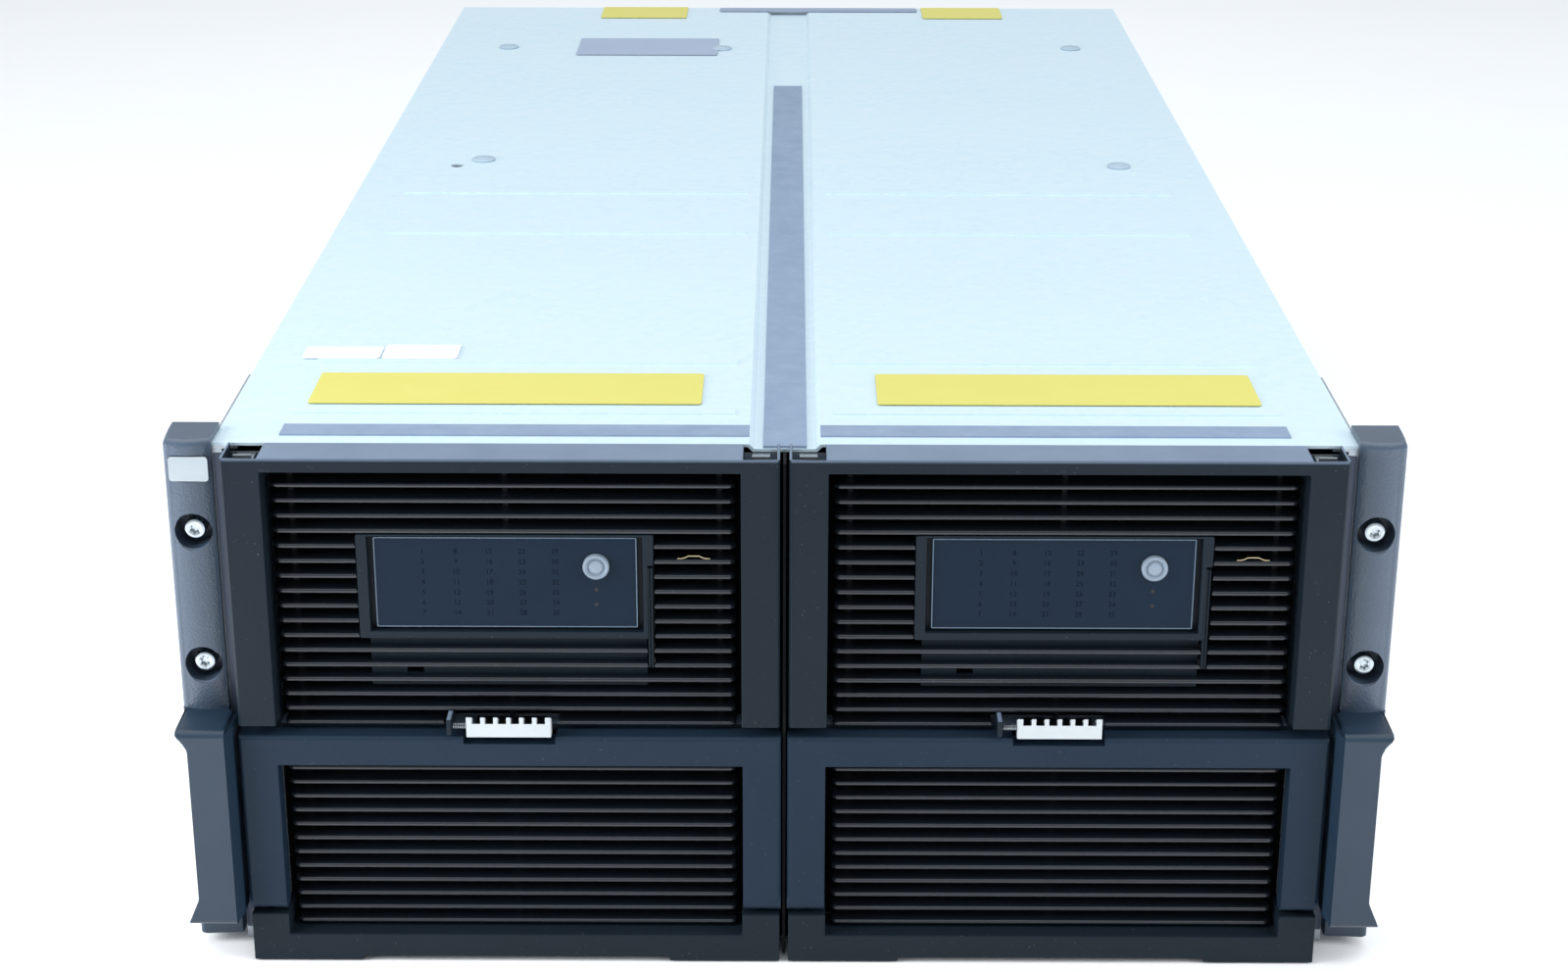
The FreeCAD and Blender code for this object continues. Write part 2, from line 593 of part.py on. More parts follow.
def build_side_panel(side, sign):
    """A side wall with a top flange to carry the cover and a narrow front return."""
    panel = Piece(f"{side}_side_panel")
    panel.pad("XZ", "chassis_front", "chassis_rear", polygon(
        (f"{sign} * wall_inside", "sheet"), (f"{sign} * chassis_half", "sheet"),
        (f"{sign} * chassis_half", "deck_low"), (f"{sign} * (chassis_half - side_flange)", "deck_low"),
        (f"{sign} * (chassis_half - side_flange)", "deck_low - sheet"),
        (f"{sign} * wall_inside", "deck_low - sheet"),
    ))
    panel.pad("XZ", "chassis_front", "chassis_front + sheet", rectangle(
        f"{sign} * (chassis_half - side_return)", f"{sign} * wall_inside",
        "sheet + base_flange + clearance", "deck_low - sheet",
    ))


def build_top_cover():
    """The lid: one sheet with a formed channel along its middle and raised cross beads."""
    cover = Piece("top_cover")
    floor, slope = "channel_width / 2", "channel_width / 2 + channel_depth"
    low_floor, low_slope = f"{floor} + sheet / 2", f"{slope} + sheet / 2"
    cover.pad("XZ", "chassis_front", "chassis_rear", polygon(
        ("-chassis_half", "deck_low"), (f"-({low_slope})", "deck_low"), (f"-({low_floor})", "channel_low"),
        (low_floor, "channel_low"), (low_slope, "deck_low"), ("chassis_half", "deck_low"),
        ("chassis_half", "chassis_height"), (slope, "chassis_height"), (floor, "channel_floor"),
        (f"-({floor})", "channel_floor"), (f"-({slope})", "chassis_height"),
        ("-chassis_half", "chassis_height"),
    ))
    beads = []
    for place in ("bead_first", "bead_second", "bead_third", "bead_fourth"):
        for sign in (-1, 1):
            ends = sorted((f"{sign} * bead_inner", f"{sign} * bead_outer"), key=value)
            beads.append(rectangle(
                *ends, f"{place} - bead_width / 2", f"{place} + bead_width / 2"))
    cover.pad("XY", "chassis_height", "chassis_height + bead_height", *beads)
    cover.cut("XY", "deck_low", "chassis_height", circle("hole_x", "hole_y", "hole_radius"))


def build_seal_strips():
    """The strip in the channel of the top cover and the two strips along its front edge."""
    strips = Piece("seal_strips")
    strips.pad("XY", "channel_floor", "channel_floor + strip_height", rectangle(
        "-strip_width / 2", "strip_width / 2", "chassis_front + strip_setback", "strip_rear"))
    for sign in (-1, 1):
        ends = sorted((f"{sign} * gasket_inner", f"{sign} * bead_outer"), key=value)
        strips.pad("XY", "chassis_height", "chassis_height + gasket_height", rectangle(
            *ends, "gasket_front", "gasket_front + gasket_width"))


def build_centre_divider():
    """The wall between the two drawers, with a foot on the base pan."""
    divider = Piece("centre_divider")
    divider.pad("XZ", "-divider_proud", "midplane_front", rectangle(
        "-sheet / 2", "sheet / 2", "sheet", "channel_low"))
    divider.pad("XZ", "chassis_front", "midplane_front", rectangle(
        "sheet / 2", "divider_foot", "sheet", "2 * sheet"))


def build_rack_flange(side, sign):
    """The bent sheet that carries an ear and takes the rack screws."""
    flange = Piece(f"{side}_rack_flange")
    flange.pad("XY", "flange_low", "flange_high", polygon(
        (f"{sign} * chassis_half", "ear_depth"), (f"{sign} * (rack_half - clearance)", "ear_depth"),
        (f"{sign} * (rack_half - clearance)", "flange_back"),
        (f"{sign} * (chassis_half + sheet)", "flange_back"),
        (f"{sign} * (chassis_half + sheet)", "flange_back + flange_leg"),
        (f"{sign} * chassis_half", "flange_back + flange_leg"),
    ))
    flange.cut("XZ", "ear_depth", "flange_back", *screw_circles(sign, "screw_radius + clearance"))


def screw_circles(sign, radius):
    """Returns the outlines of the two screw holes of one ear."""
    heights = ("screw_low", "screw_low + screw_rise")
    return [circle(f"{sign} * screw_spacing / 2", height, radius) for height in heights]


def ear_outline(sign):
    """Returns the plan of an ear moulding, round at its outer front corner."""
    return polygon(
        (f"{sign} * chassis_half", "ear_depth"), (f"{sign} * chassis_half", "0"),
        (f"{sign} * ear_half", "0", "ear_round"), (f"{sign} * ear_half", "ear_depth"))


def build_ear_cover(side, sign):
    """The upper moulding of an ear, with deep wells for the rack screws."""
    cover = Piece(f"{side}_ear_cover")
    cover.pad("XY", "ear_split", "ear_top", ear_outline(sign))
    cover.cut("XZ", "0", "counterbore_depth", *screw_circles(sign, "counterbore_radius"))
    cover.cut("XZ", "counterbore_depth", "ear_depth", *screw_circles(sign, "screw_radius + clearance"))
    if side == "left":
        middle = f"{sign} * (chassis_half + rack_half) / 2"
        cover.cut("XZ", "0", "badge_depth", rectangle(
            f"{middle} - badge_width / 2", f"{middle} + badge_width / 2",
            "badge_low", "badge_low + badge_height"))


def build_ear_grip(side, sign):
    """The lower moulding of an ear: a pull grip that fingers reach behind from the outer side."""
    grip = Piece(f"{side}_ear_grip")
    grip.pad("XY", "ear_bottom", "ear_split", ear_outline(sign))
    sides = sorted((f"{sign} * (chassis_half - grip_overhang)", f"{sign} * rack_half"), key=value)
    grip.pad("YZ", *sides, polygon(
        ("0", "grip_low"), ("0", "ear_split"), ("-grip_proud", "ear_split", "grip_round"),
        ("-grip_proud", "grip_low", "grip_round")))
    far, edge = f"{sign} * (rack_half + overshoot)", f"{sign} * rack_half"
    web = f"{sign} * (chassis_half - grip_overhang + grip_web)"
    grip.cut("XY", "grip_low + grip_arm", "ear_split - grip_arm", rectangle(
        web, far, "grip_wall - grip_proud", "0"))
    bar_edge = f"{sign} * (rack_half - grip_setback)"
    low, high = "grip_low + grip_tip", "ear_split - grip_tip"
    grip.cut("XZ", "-grip_proud", "0", polygon(
        (far, low), (edge, low), (bar_edge, f"{low} + grip_flare_low", "grip_flare_round"),
        (bar_edge, f"{high} - grip_flare_high", "grip_flare_round"), (edge, high), (far, high)))


def build_rack_screws():
    """The four captive screws that fasten the ears to the rack, each with a thin neck inside its ear."""
    screws = Piece("rack_screws", x="-screw_spacing / 2", z="screw_low")
    under_head, head = "counterbore_depth", "counterbore_depth - screw_head_height"
    neck_end, tip = "flange_back + screw_neck_reach", "flange_back + screw_reach"
    screws.turn(polygon(
        ("0", head), ("screw_head_radius", head), ("screw_head_radius", under_head),
        ("screw_neck_radius", under_head), ("screw_neck_radius", neck_end), ("screw_radius", neck_end),
        ("screw_radius", tip), ("0", tip)))
    screws.row("X", "screw_spacing", 2)
    screws.row("Z", "screw_rise", 2)


def slide_section(wall, sign, member):
    """Returns the section of one slide member, which opens from its wall towards the drawer."""
    def at(depth):
        return f"({wall}) + ({sign}) * ({depth})"
    half = "slide_height / 2"
    if member == "outer":
        near, lip, top = "0", "slide_depth * outer_lip_share", half
    elif member == "middle":
        near, lip = "slide_depth * middle_web_share", "slide_depth - slide_gauge - slide_play"
        top = f"{half} - slide_gauge - clearance"
    else:
        near, lip = "slide_depth", "slide_depth * inner_lip_share"
        top = f"{half} - 2 * slide_gauge - 2 * clearance"
    turn = -1 if member == "inner" else 1
    web = f"{near} + {turn} * slide_gauge"
    inner = f"{top} - slide_gauge"
    return polygon(
        (at(near), f"slide_middle_z - ({top})"), (at(lip), f"slide_middle_z - ({top})"),
        (at(lip), f"slide_middle_z - ({inner})"), (at(web), f"slide_middle_z - ({inner})"),
        (at(web), f"slide_middle_z + {inner}"), (at(lip), f"slide_middle_z + {inner}"),
        (at(lip), f"slide_middle_z + {top}"), (at(near), f"slide_middle_z + {top}"))


def slide_walls(sign):
    """Returns the two walls beside a drawer, each with the way from the wall to the drawer."""
    return [(f"{sign} * wall_inside", -sign), (f"{sign} * sheet / 2", sign)]


def build_slides(label, sign, member):
    """One member of both telescopic slides of a drawer."""
    rails = Piece(label)
    for wall, way in slide_walls(sign):
        rails.pad("XZ", "slide_front", "slide_rear", slide_section(wall, way, member))


def build_outer_slides():
    """The slide members that are fixed to the chassis, for both drawers."""
    rails = Piece("slide_outer_rails")
    for sign in (-1, 1):
        for wall, way in slide_walls(sign):
            rails.pad("XZ", "slide_front", "slide_rear", slide_section(wall, way, "outer"))


def build_tray(side, sign):
    """The drawer's open tray with its front plate, rear wall and the ribs for the backplane."""
    tray = Piece(f"{side}_drawer_tray")
    inner, outer = f"{sign} * tray_inner", f"{sign} * tray_outer"
    inside, outside = f"{sign} * (tray_inner + sheet)", f"{sign} * (tray_outer - sheet)"
    tray.pad("XZ", "tray_front", "tray_rear", polygon(
        (inner, "tray_floor"), (outer, "tray_floor"), (outer, "tray_top"), (outside, "tray_top"),
        (outside, "tray_deck"), (inside, "tray_deck"), (inside, "tray_top"), (inner, "tray_top")))
    tray.pad("XZ", "tray_rear - sheet", "tray_rear", rectangle(inner, outer, "tray_floor", "tray_top"))
    tray.cut("XZ", "tray_rear - sheet", "tray_rear", rectangle(
        f"{sign} * (tray_inner + rear_window_edge)", f"{sign} * (tray_outer - rear_window_edge)",
        "board_high + rear_window_sill", "tray_top - rear_window_edge"))
    middle = f"{sign} * drawer_centre"
    tray.pad("XZ", "bezel_back", "tray_front", rectangle(
        f"{middle} - bezel_half", f"{middle} + bezel_half", "plate_low", "plate_high"))
    for left, right, low, high in air_windows():
        tray.cut("XZ", "bezel_back", "tray_front", rectangle(
            f"{middle} + {left}", f"{middle} + {right}", low, high))
    for way in (-1, 1):
        rib = f"{sign} * tray_middle + {way} * standoff_spread / 2"
        tray.pad("XZ", "tray_front", "tray_rear - sheet", rectangle(
            f"{rib} - standoff_width / 2", f"{rib} + standoff_width / 2", "tray_deck", "board_low"))
        tab = f"{middle} + {way} * (bezel_half - tab_inset - tab_width / 2)"
        tray.pad("YZ", f"{tab} - tab_width / 2", f"{tab} + tab_width / 2", bent_tab())


def bent_tab():
    """Returns the section of a tab that is bent forward from the front plate and turned up at its end."""
    under, end = "plate_high - sheet", "bezel_back - tab_reach"
    return polygon(
        ("tray_front", under), ("tray_front", "plate_high"), (f"{end} + sheet", "plate_high"),
        (f"{end} + sheet", "plate_high + tab_rise"), (end, "plate_high + tab_rise"), (end, under))


def air_windows():
    """Returns the air windows of the front plate as left, right, low and high, from the drawer's middle."""
    beside = "display_width / 2 + window_web"
    above = "display_width / 2"
    return [
        ("-air_half", f"-({beside})", "air_low", "air_high"),
        (beside, "air_half", "air_low", "air_high"),
        (f"-({above})", above, "display_high + window_web", "air_high"),
        (f"-({above})", above, "air_low", "air_skirt"),
        ("-air_half", "air_half", "air_lower_low", "air_lower_high"),
    ]


def build_backplane(side, sign):
    """The board under the drives, with a connector for each."""
    board = Piece(f"{side}_drive_backplane")
    board.pad("XY", "board_low", "board_high", rectangle(
        f"{sign} * (tray_inner + sheet + board_side_gap)", f"{sign} * (tray_outer - sheet - board_side_gap)",
        "tray_front + board_end_gap", "tray_rear - sheet - board_end_gap"))
    first_x = f"{sign} * tray_middle - drive_pitch_x * (drive_columns - 1) / 2"
    connector = board.pad("XY", "board_high", "drive_low", rectangle(
        f"{first_x} - connector_width / 2", f"{first_x} + connector_width / 2",
        "drive_first - connector_length / 2", "drive_first + connector_length / 2"))
    grid(board, [connector])


def grid(piece, features=None):
    """Repeats features, or the whole piece, at every drive's place."""
    pattern = piece.row("X", "drive_pitch_x", "drive_columns", features)
    pattern.Direction2 = (piece.origin("Y_Axis"), [""])
    pattern.setExpression("Length2", bound("drive_pitch_y * (drive_rows - 1)"))
    pattern.setExpression("Occurrences2", bound("drive_rows"))
    doc.recompute()


def build_drives(side, sign):
    """The disk drives, each standing on its connector under a carrier cap with a lever."""
    drives = Piece(f"{side}_drives", x=f"{sign} * tray_middle - drive_pitch_x * (drive_columns - 1) / 2")
    half, front, back = "drive_width / 2", "drive_first - drive_length / 2", "drive_first + drive_length / 2"
    drives.pad("YZ", f"-{half}", half, polygon(
        (front, "drive_low"), (back, "drive_low"), (back, "drive_high + carrier_height"),
        (f"{back} - lever_start", "drive_high + carrier_height"),
        (f"{back} - lever_start - lever_slope", "drive_high + carrier_lever"),
        (front, "drive_high + carrier_lever")))
    grid(drives)


def build_upper_bezel(side, centre):
    """The frame round the upper grille, with pockets in its top corners and a ledge for the latch."""
    bezel = Piece(f"{side}_upper_bezel", x=centre)
    bezel.pad("XZ", "-bezel_proud", "bezel_back", polygon(
        ("-bezel_half", "bezel_bottom"), ("-opening_half", "bezel_bottom"),
        ("-opening_half", "bezel_top - bezel_rail"), ("opening_half", "bezel_top - bezel_rail"),
        ("opening_half", "bezel_bottom"), ("bezel_half", "bezel_bottom"),
        ("bezel_half", "bezel_top"), ("-bezel_half", "bezel_top")))
    bezel.bevel_edges(
        "bezel_edge", lying_on(y="-bezel_proud", z="bezel_top"), lying_on(y="-bezel_proud", x="-bezel_half"),
        lying_on(y="-bezel_proud", x="bezel_half"))
    for sign in (-1, 1):
        bezel.cut("XY", "bezel_top - pocket_depth", "bezel_top", rectangle(
            f"{sign} * (bezel_half - pocket_inset)", f"{sign} * (bezel_half - pocket_inset - pocket_width)",
            "pocket_inset - bezel_proud", "bezel_back"))
        bezel.pad("XZ", "handle_back + 2 * clearance", "bezel_back", rectangle(
            f"{sign} * opening_half", f"{sign} * bezel_half", "ledge_top", "bezel_bottom"))
    bezel.pad("XZ", "handle_back + 2 * clearance", "bezel_back", rectangle(
        "-bezel_half", "bezel_half", "ledge_bottom", "ledge_top"))
    bezel.pad("XY", "ledge_top", "latch_high - spring_post_drop", rectangle(
        "spring_start - clearance / 2 - spring_post", "spring_start - clearance / 2", "-latch_proud", "0"))


def build_louvres(label, centre, first, count, low, high):
    """A grille of level bars with eased noses and bevelled ends, joined by upright ribs behind them."""
    grille = Piece(label, x=centre)
    back, ease = "louvre_nose + louvre_depth", "louvre_nose + louvre_nose_bevel"
    under, over = f"{first} - louvre_height / 2", f"{first} + louvre_height / 2"
    bar = grille.pad("YZ", "-louvre_half", "louvre_half", polygon(
        (back, under), (ease, under), ("louvre_nose", f"{under} + louvre_nose_bevel"),
        ("louvre_nose", f"{over} - louvre_nose_bevel"), (ease, over), (back, over)))
    grille.row("Z", "louvre_pitch", count, [bar], backwards=True)
    for sign in (-1, 1):
        grille.cut("XY", low, high, polygon(
            (f"{sign} * louvre_half", "louvre_nose + louvre_bevel"), (f"{sign} * louvre_half", "louvre_nose"),
            (f"{sign} * (louvre_half - louvre_bevel)", "louvre_nose")))
    ribs = [
        rectangle(f"{place} * rib_spread - rib_width / 2", f"{place} * rib_spread + rib_width / 2", low, high)
        for place in (-1, 0, 1)
    ]
    grille.pad("XZ", back, "bezel_back", *ribs)
    return grille


def build_upper_louvres(side, centre):
    """The upper grille, open for the display, its guide and the latch, and closed below the display."""
    last = "upper_first - louvre_pitch * (upper_count - 1)"
    grille = build_louvres(
        f"{side}_upper_louvres", centre, "upper_first", "upper_count",
        f"{last} - louvre_height / 2", "bezel_top - bezel_rail - clearance")
    half = "display_width / 2 + clearance"
    grille.cut("XZ", "-bezel_proud", "bezel_back", rectangle(
        f"-({half})", half, "display_low - clearance", "display_high + clearance"))
    grille.cut("XZ", "-bezel_proud", "bezel_back", rectangle(
        "spring_start - spring_post - louvre_break_gap", "latch_width / 2 + louvre_break_gap",
        "ledge_top", f"{last} + louvre_pitch - louvre_height / 2"))
    hole = rectangle(
        "skirt_hole_x - skirt_hole_width / 2", "skirt_hole_x + skirt_hole_width / 2",
        "skirt_hole_z - skirt_hole_height / 2", "skirt_hole_z + skirt_hole_height / 2")
    grille.pad("XZ", "skirt_front", "skirt_front + skirt_gauge", rectangle(
        "-skirt_width / 2", "skirt_width / 2", "skirt_low", "display_low - clearance"), hole)
    grille.cut("XZ", "-bezel_proud", "guide_back + 2 * clearance", rectangle(
        "guide_right - guide_width - clearance", "guide_right + clearance",
        "guide_low - clearance", "display_low"))


def build_display_frame(side, centre):
    """The frame of the display, flush with the louvres and closed behind, with a bore for the button's stem."""
    frame = Piece(f"{side}_display_frame", x=centre)
    half, rim = "display_width / 2", "display_width / 2 - display_rim"
    frame.pad("XZ", "-display_proud", "bezel_back", rectangle(
        f"-{half}", half, "display_low", "display_high", "display_round"))
    frame.cut("XZ", "-display_proud", "display_floor", rectangle(
        f"-({rim})", rim, "display_low + display_sill", "display_high - display_head"))
    stem_end = "button_cap + button_stem + button_travel - display_proud"
    frame.cut("XZ", "display_floor", f"{stem_end} + overshoot", circle(
        "button_x", "button_z", "button_stem_radius + clearance"))
    build_guide(frame, half)


def build_guide(frame, edge):
    """Adds the grooved upright guide that stands in a step at the display's right edge."""
    face = "guide_setback - display_proud"
    frame.cut("XZ", "-display_proud", "guide_back", rectangle(
        f"{edge} - guide_notch", edge, "display_low", "guide_notch_high"))
    frame.pad("XZ", face, "guide_back + overshoot / 2", rectangle(
        "guide_right - guide_width", "guide_right", "guide_low", "guide_high"))
    frame.cut("XZ", face, f"{face} + guide_groove", rectangle(
        "guide_right - (guide_width + guide_groove) / 2", "guide_right - (guide_width - guide_groove) / 2",
        "guide_low", "guide_high"))


def build_display_window(side, centre):
    """The tinted window of the display, with a hole for the button."""
    window = Piece(f"{side}_display_window", x=centre)
    half = "window_width / 2"
    window.pad("XZ", "display_floor - window_depth", "display_floor", rectangle(
        f"-{half}", half, "window_low", "window_low + window_height"),
        circle("button_x", "button_z", "button_radius + clearance"))


def build_button(side, centre):
    """The identification push button: a round cap on a stem."""
    button = Piece(f"{side}_ident_button", x=f"{centre} + button_x", z="button_z")
    face = "-display_proud"
    under_cap, stem_end = f"{face} + button_cap", f"{face} + button_cap + button_stem"
    button.turn(polygon(
        ("0", face), ("button_radius - button_edge", face), ("button_radius", f"{face} + button_edge"),
        ("button_radius", under_cap), ("button_stem_radius", under_cap), ("button_stem_radius", stem_end),
        ("0", stem_end)))


def build_latch(side, centre):
    """The sliding release latch: a notched thumb plate on a tongue that runs along the ledge."""
    latch = Piece(f"{side}_release_latch", x=centre)
    half = "latch_width / 2"
    latch.pad("XZ", "-latch_proud", "latch_plate_back", rectangle(
        f"-{half}", half, "latch_low", "latch_high"))
    latch.pad("XZ", "latch_plate_back", "-latch_block_back", rectangle(
        "-latch_block / 2", "latch_block / 2", "ledge_top + clearance", "latch_block_top"))
    first = "-latch_notch_pitch * (latch_notch_count - 1) / 2"
    floor = "latch_high - latch_notch_depth"
    notch = latch.cut("YZ", f"{first} - latch_notch / 2", f"{first} + latch_notch / 2", polygon(
        ("-latch_proud", floor), ("latch_plate_back", f"{floor} - latch_notch_fall"),
        ("latch_plate_back", "latch_high"), ("-latch_proud", "latch_high")))
    latch.row("X", "latch_notch_pitch", "latch_notch_count", [notch])


def build_latch_spring(side, centre):
    """The folded strip spring that pushes the latch back."""
    spring = Piece(f"{side}_latch_spring", x=centre)
    folds = 6
    low, high = "spring_z - spring_height / 2", "spring_z + spring_height / 2 - spring_gauge"
    step = f"spring_length / {folds}"
    under = [(f"spring_start + {i} * {step}", high if i % 2 else low) for i in range(folds + 1)]
    over = [(x, f"{z} + spring_gauge") for x, z in reversed(under)]
    spring.pad("XZ", "spring_y - spring_width / 2", "spring_y + spring_width / 2", polygon(*under, *over))


def build_handle(side, centre):
    """The pull handle: an inverted U with round lower ends that turn on hidden lugs."""
    handle = Piece(f"{side}_pull_handle", x=centre)
    inside = "handle_half - handle_leg"
    notch_right = "latch_width / 2 + handle_notch_gap"
    notch_left = "-latch_width / 2 - handle_notch_gap"
    handle.pad("XZ", "-bezel_proud", "handle_back", polygon(
        ("-handle_half", "pivot_z"), (f"-({inside})", "pivot_z"), (f"-({inside})", "handle_top - handle_bar"),
        (inside, "handle_top - handle_bar"), (inside, "pivot_z"), ("handle_half", "pivot_z"),
        ("handle_half", "handle_top"), (notch_right, "handle_top"),
        (notch_right, "handle_top - handle_notch_depth"), (notch_left, "handle_top - handle_notch_depth"),
        (notch_left, "handle_top"), ("-handle_half", "handle_top")))
    handle.bevel_edges(
        "handle_edge", lying_on(y="-bezel_proud", x="-handle_half"),
        lying_on(y="-bezel_proud", x="handle_half"), lying_on(y="-bezel_proud", z="handle_top"))
    for sign in (-1, 1):
        middle = f"{sign} * leg_centre"
        handle.pad("YZ", f"{middle} - handle_leg / 2", f"{middle} + handle_leg / 2", circle(
            "pivot_y", "pivot_z", "handle_depth / 2"))
        handle.cut("YZ", f"{middle} - lug_gap", f"{middle} + lug_gap", rectangle(
            "pivot_y - lug_radius - clearance", "handle_back",
            "handle_bottom", "pivot_z + lug_radius + clearance"))
        bore = "pin_length / 2 + clearance"
        handle.cut("YZ", f"{middle} - ({bore})", f"{middle} + {bore}", circle(
            "pivot_y", "pivot_z", "pin_radius + pin_clearance"))


def build_handle_pins(side, centre):
    """The two pins that the pull handle turns on."""
    pins = Piece(f"{side}_handle_pins", x=centre)
    for sign in (-1, 1):
        middle = f"{sign} * leg_centre"
        pins.pad("YZ", f"{middle} - pin_length / 2", f"{middle} + pin_length / 2", circle(
            "pivot_y", "pivot_z", "pin_radius"))


def build_lip(side, centre):
    """The bottom piece of a drawer front: a low bar between two posts that carry the handle's lugs."""
    lip = Piece(f"{side}_drawer_lip", x=centre)
    inside, foot = "opening_half", "bezel_half - lip_foot"
    lip.pad("XZ", "-bezel_proud", "bezel_back", polygon(
        ("-bezel_half", "lip_low"), (f"-({foot})", "lip_low"), (f"-({foot})", "lip_bar_bottom"),
        (foot, "lip_bar_bottom"), (foot, "lip_low"), ("bezel_half", "lip_low"), ("bezel_half", "lip_top"),
        (inside, "lip_top"), (inside, "lip_bar_top"), (f"-{inside}", "lip_bar_top"),
        (f"-{inside}", "lip_top"), ("-bezel_half", "lip_top")))
    for sign in (-1, 1):
        middle = f"{sign} * leg_centre"
        lip.pad("YZ", f"{middle} - lug_width / 2", f"{middle} + lug_width / 2", polygon(
            ("bezel_back", "lip_top"), ("bezel_back", "pivot_z + lug_radius"),
            ("pivot_y - lug_radius", "pivot_z + lug_radius", "lug_round"),
            ("pivot_y - lug_radius", "pivot_z - lug_radius", "lug_round"),
            ("bezel_back - lug_riser", "pivot_z - lug_radius"), ("bezel_back - lug_riser", "lip_top")),
            circle("pivot_y", "pivot_z", "pin_radius + pin_clearance / 2"))


def build_midplane():
    """The board between the drawers and the rear modules, with air windows."""
    board = Piece("midplane_board")
    windows = []
    for side in (-1, 1):
        for way in (-1, 1):
            middle = f"{side} * bay_split + {way} * bay_step"
            for height in ("(sheet + shelf_low) / 2", "(shelf_high + channel_low) / 2"):
                windows.append(rectangle(
                    f"{middle} - midplane_air / 2", f"{middle} + midplane_air / 2",
                    f"{height} + module_plug_height / 2 + module_plug_margin - midplane_air_high / 2",
                    f"{height} + midplane_air_high / 2"))
    board.pad("XZ", "midplane_front", "midplane_back", rectangle(
        "-bay_outer + clearance", "bay_outer - clearance", "midplane_low", "midplane_high"), *windows)


def build_module_cage():
    """The welded shelf and walls that divide the rear into bays."""
    cage = Piece("module_cage")
    span = ("midplane_back", "chassis_rear")
    cage.pad("XZ", *span, rectangle("-bay_outer", "bay_outer", "shelf_low", "shelf_high"))
    for low, high in (("sheet", "shelf_low"), ("shelf_high", "channel_low")):
        for middle in ("-bay_split", "0", "bay_split"):
            cage.pad("XZ", *span, rectangle(f"{middle} - sheet / 2", f"{middle} + sheet / 2", low, high))


def build_module(label, middle, low, high):
    """A rear module's housing with its connector, pulled out by a loop at its left side."""
    module = Piece(label, x=middle)
    half = "module_half"
    module.pad("XZ", "module_front", "chassis_rear", rectangle(f"-{half}", half, low, high))
    centre = f"({low} + {high}) / 2"
    foot = f"({low} + module_plug_low)"
    module.pad("XZ", "module_front - module_plug", "module_front", rectangle(
        "-module_plug_width / 2", "module_plug_width / 2", foot, f"{foot} + module_plug_height"))
    left = "-module_half + pull_inset"
    module.pad("YZ", left, f"{left} + pull_width", polygon(
        ("chassis_rear", f"{centre} - pull_height / 2"),
        ("pull_rear", f"{centre} - pull_height / 2", "pull_round"),
        ("pull_rear", f"{centre} + pull_height / 2", "pull_round"),
        ("chassis_rear", f"{centre} + pull_height / 2")))
    module.cut("YZ", left, f"{left} + pull_width", rectangle(
        "chassis_rear", "pull_rear - pull_bar",
        f"{centre} - pull_height / 2 + pull_bar", f"{centre} + pull_height / 2 - pull_bar"))
    return module, centre


def build_power_supply(label, middle):
    """A power supply with a recessed vent and a power inlet."""
    supply, _ = build_module(label, middle, "lower_module_low", "lower_module_high")
    supply.cut("XZ", "chassis_rear - vent_depth", "chassis_rear", rectangle(
        "module_half - vent_edge - vent_width", "module_half - vent_edge",
        "lower_module_high - vent_edge - vent_height", "lower_module_high - vent_edge"))
    supply.cut("XZ", "chassis_rear - inlet_depth", "chassis_rear", rectangle(
        "module_half - inlet_edge - inlet_width", "module_half - inlet_edge",
        "lower_module_low + inlet_low", "lower_module_low + inlet_low + inlet_height"))


def build_io_module(label, middle):
    """An I/O module with two cable ports."""
    module, centre = build_module(label, middle, "upper_module_low", "upper_module_high")
    for way in (-1, 1):
        port = f"port_shift + {way} * port_spread / 2"
        module.cut("XZ", "chassis_rear - port_depth", "chassis_rear", rectangle(
            f"{port} - port_width / 2", f"{port} + port_width / 2",
            f"{centre} - port_height / 2", f"{centre} + port_height / 2"))


def build_fan_module(label, middle):
    """A fan module: a housing with a round duct and struts that carry the motor."""
    module, centre = build_module(label, middle, "upper_module_low", "upper_module_high")
    module.cut("XZ", "module_front - module_plug", "chassis_rear", circle(
        "duct_shift", centre, "duct_radius"))
    module.pad("XZ", "strut_low", "motor_low", rectangle(
        "duct_shift - duct_radius - strut_root", "duct_shift + duct_radius + strut_root",
        f"{centre} - strut_width / 2", f"{centre} + strut_width / 2"))
    module.pad("XZ", "strut_low", "motor_low", rectangle(
        "duct_shift - strut_width / 2", "duct_shift + strut_width / 2",
        f"{centre} - duct_radius - strut_root", f"{centre} + duct_radius + strut_root"))
    module.pad("XZ", "strut_low", "motor_back", circle("duct_shift", centre, "motor_radius"))


def build_fan_rotor(label, middle):
    """A fan rotor: a hub with pitched blades, which turns behind the motor."""
    centre = "(upper_module_low + upper_module_high) / 2"
    rotor = Piece(label, x=f"{middle} + duct_shift", z=centre)
    rotor.turn(polygon(
        ("0", "hub_front"), ("hub_radius", "hub_front"), ("hub_radius", "hub_front + hub_depth - hub_edge"),
        ("hub_radius - hub_edge", "hub_front + hub_depth"), ("0", "hub_front + hub_depth")))
    run, rise = "blade_chord / 2 * cos(blade_pitch)", "blade_chord / 2 * sin(blade_pitch)"
    along = "hub_front + hub_depth / 2"
    blade = rotor.pad("YZ", "hub_radius - blade_root", "blade_reach - blade_tip_trim", polygon(
        (f"{along} - {rise}", f"-({run})"), (f"{along} - {rise} + blade_gauge", f"-({run})"),
        (f"{along} + {rise}", run), (f"{along} + {rise} - blade_gauge", run)))
    rotor.ring([blade], "blade_count")


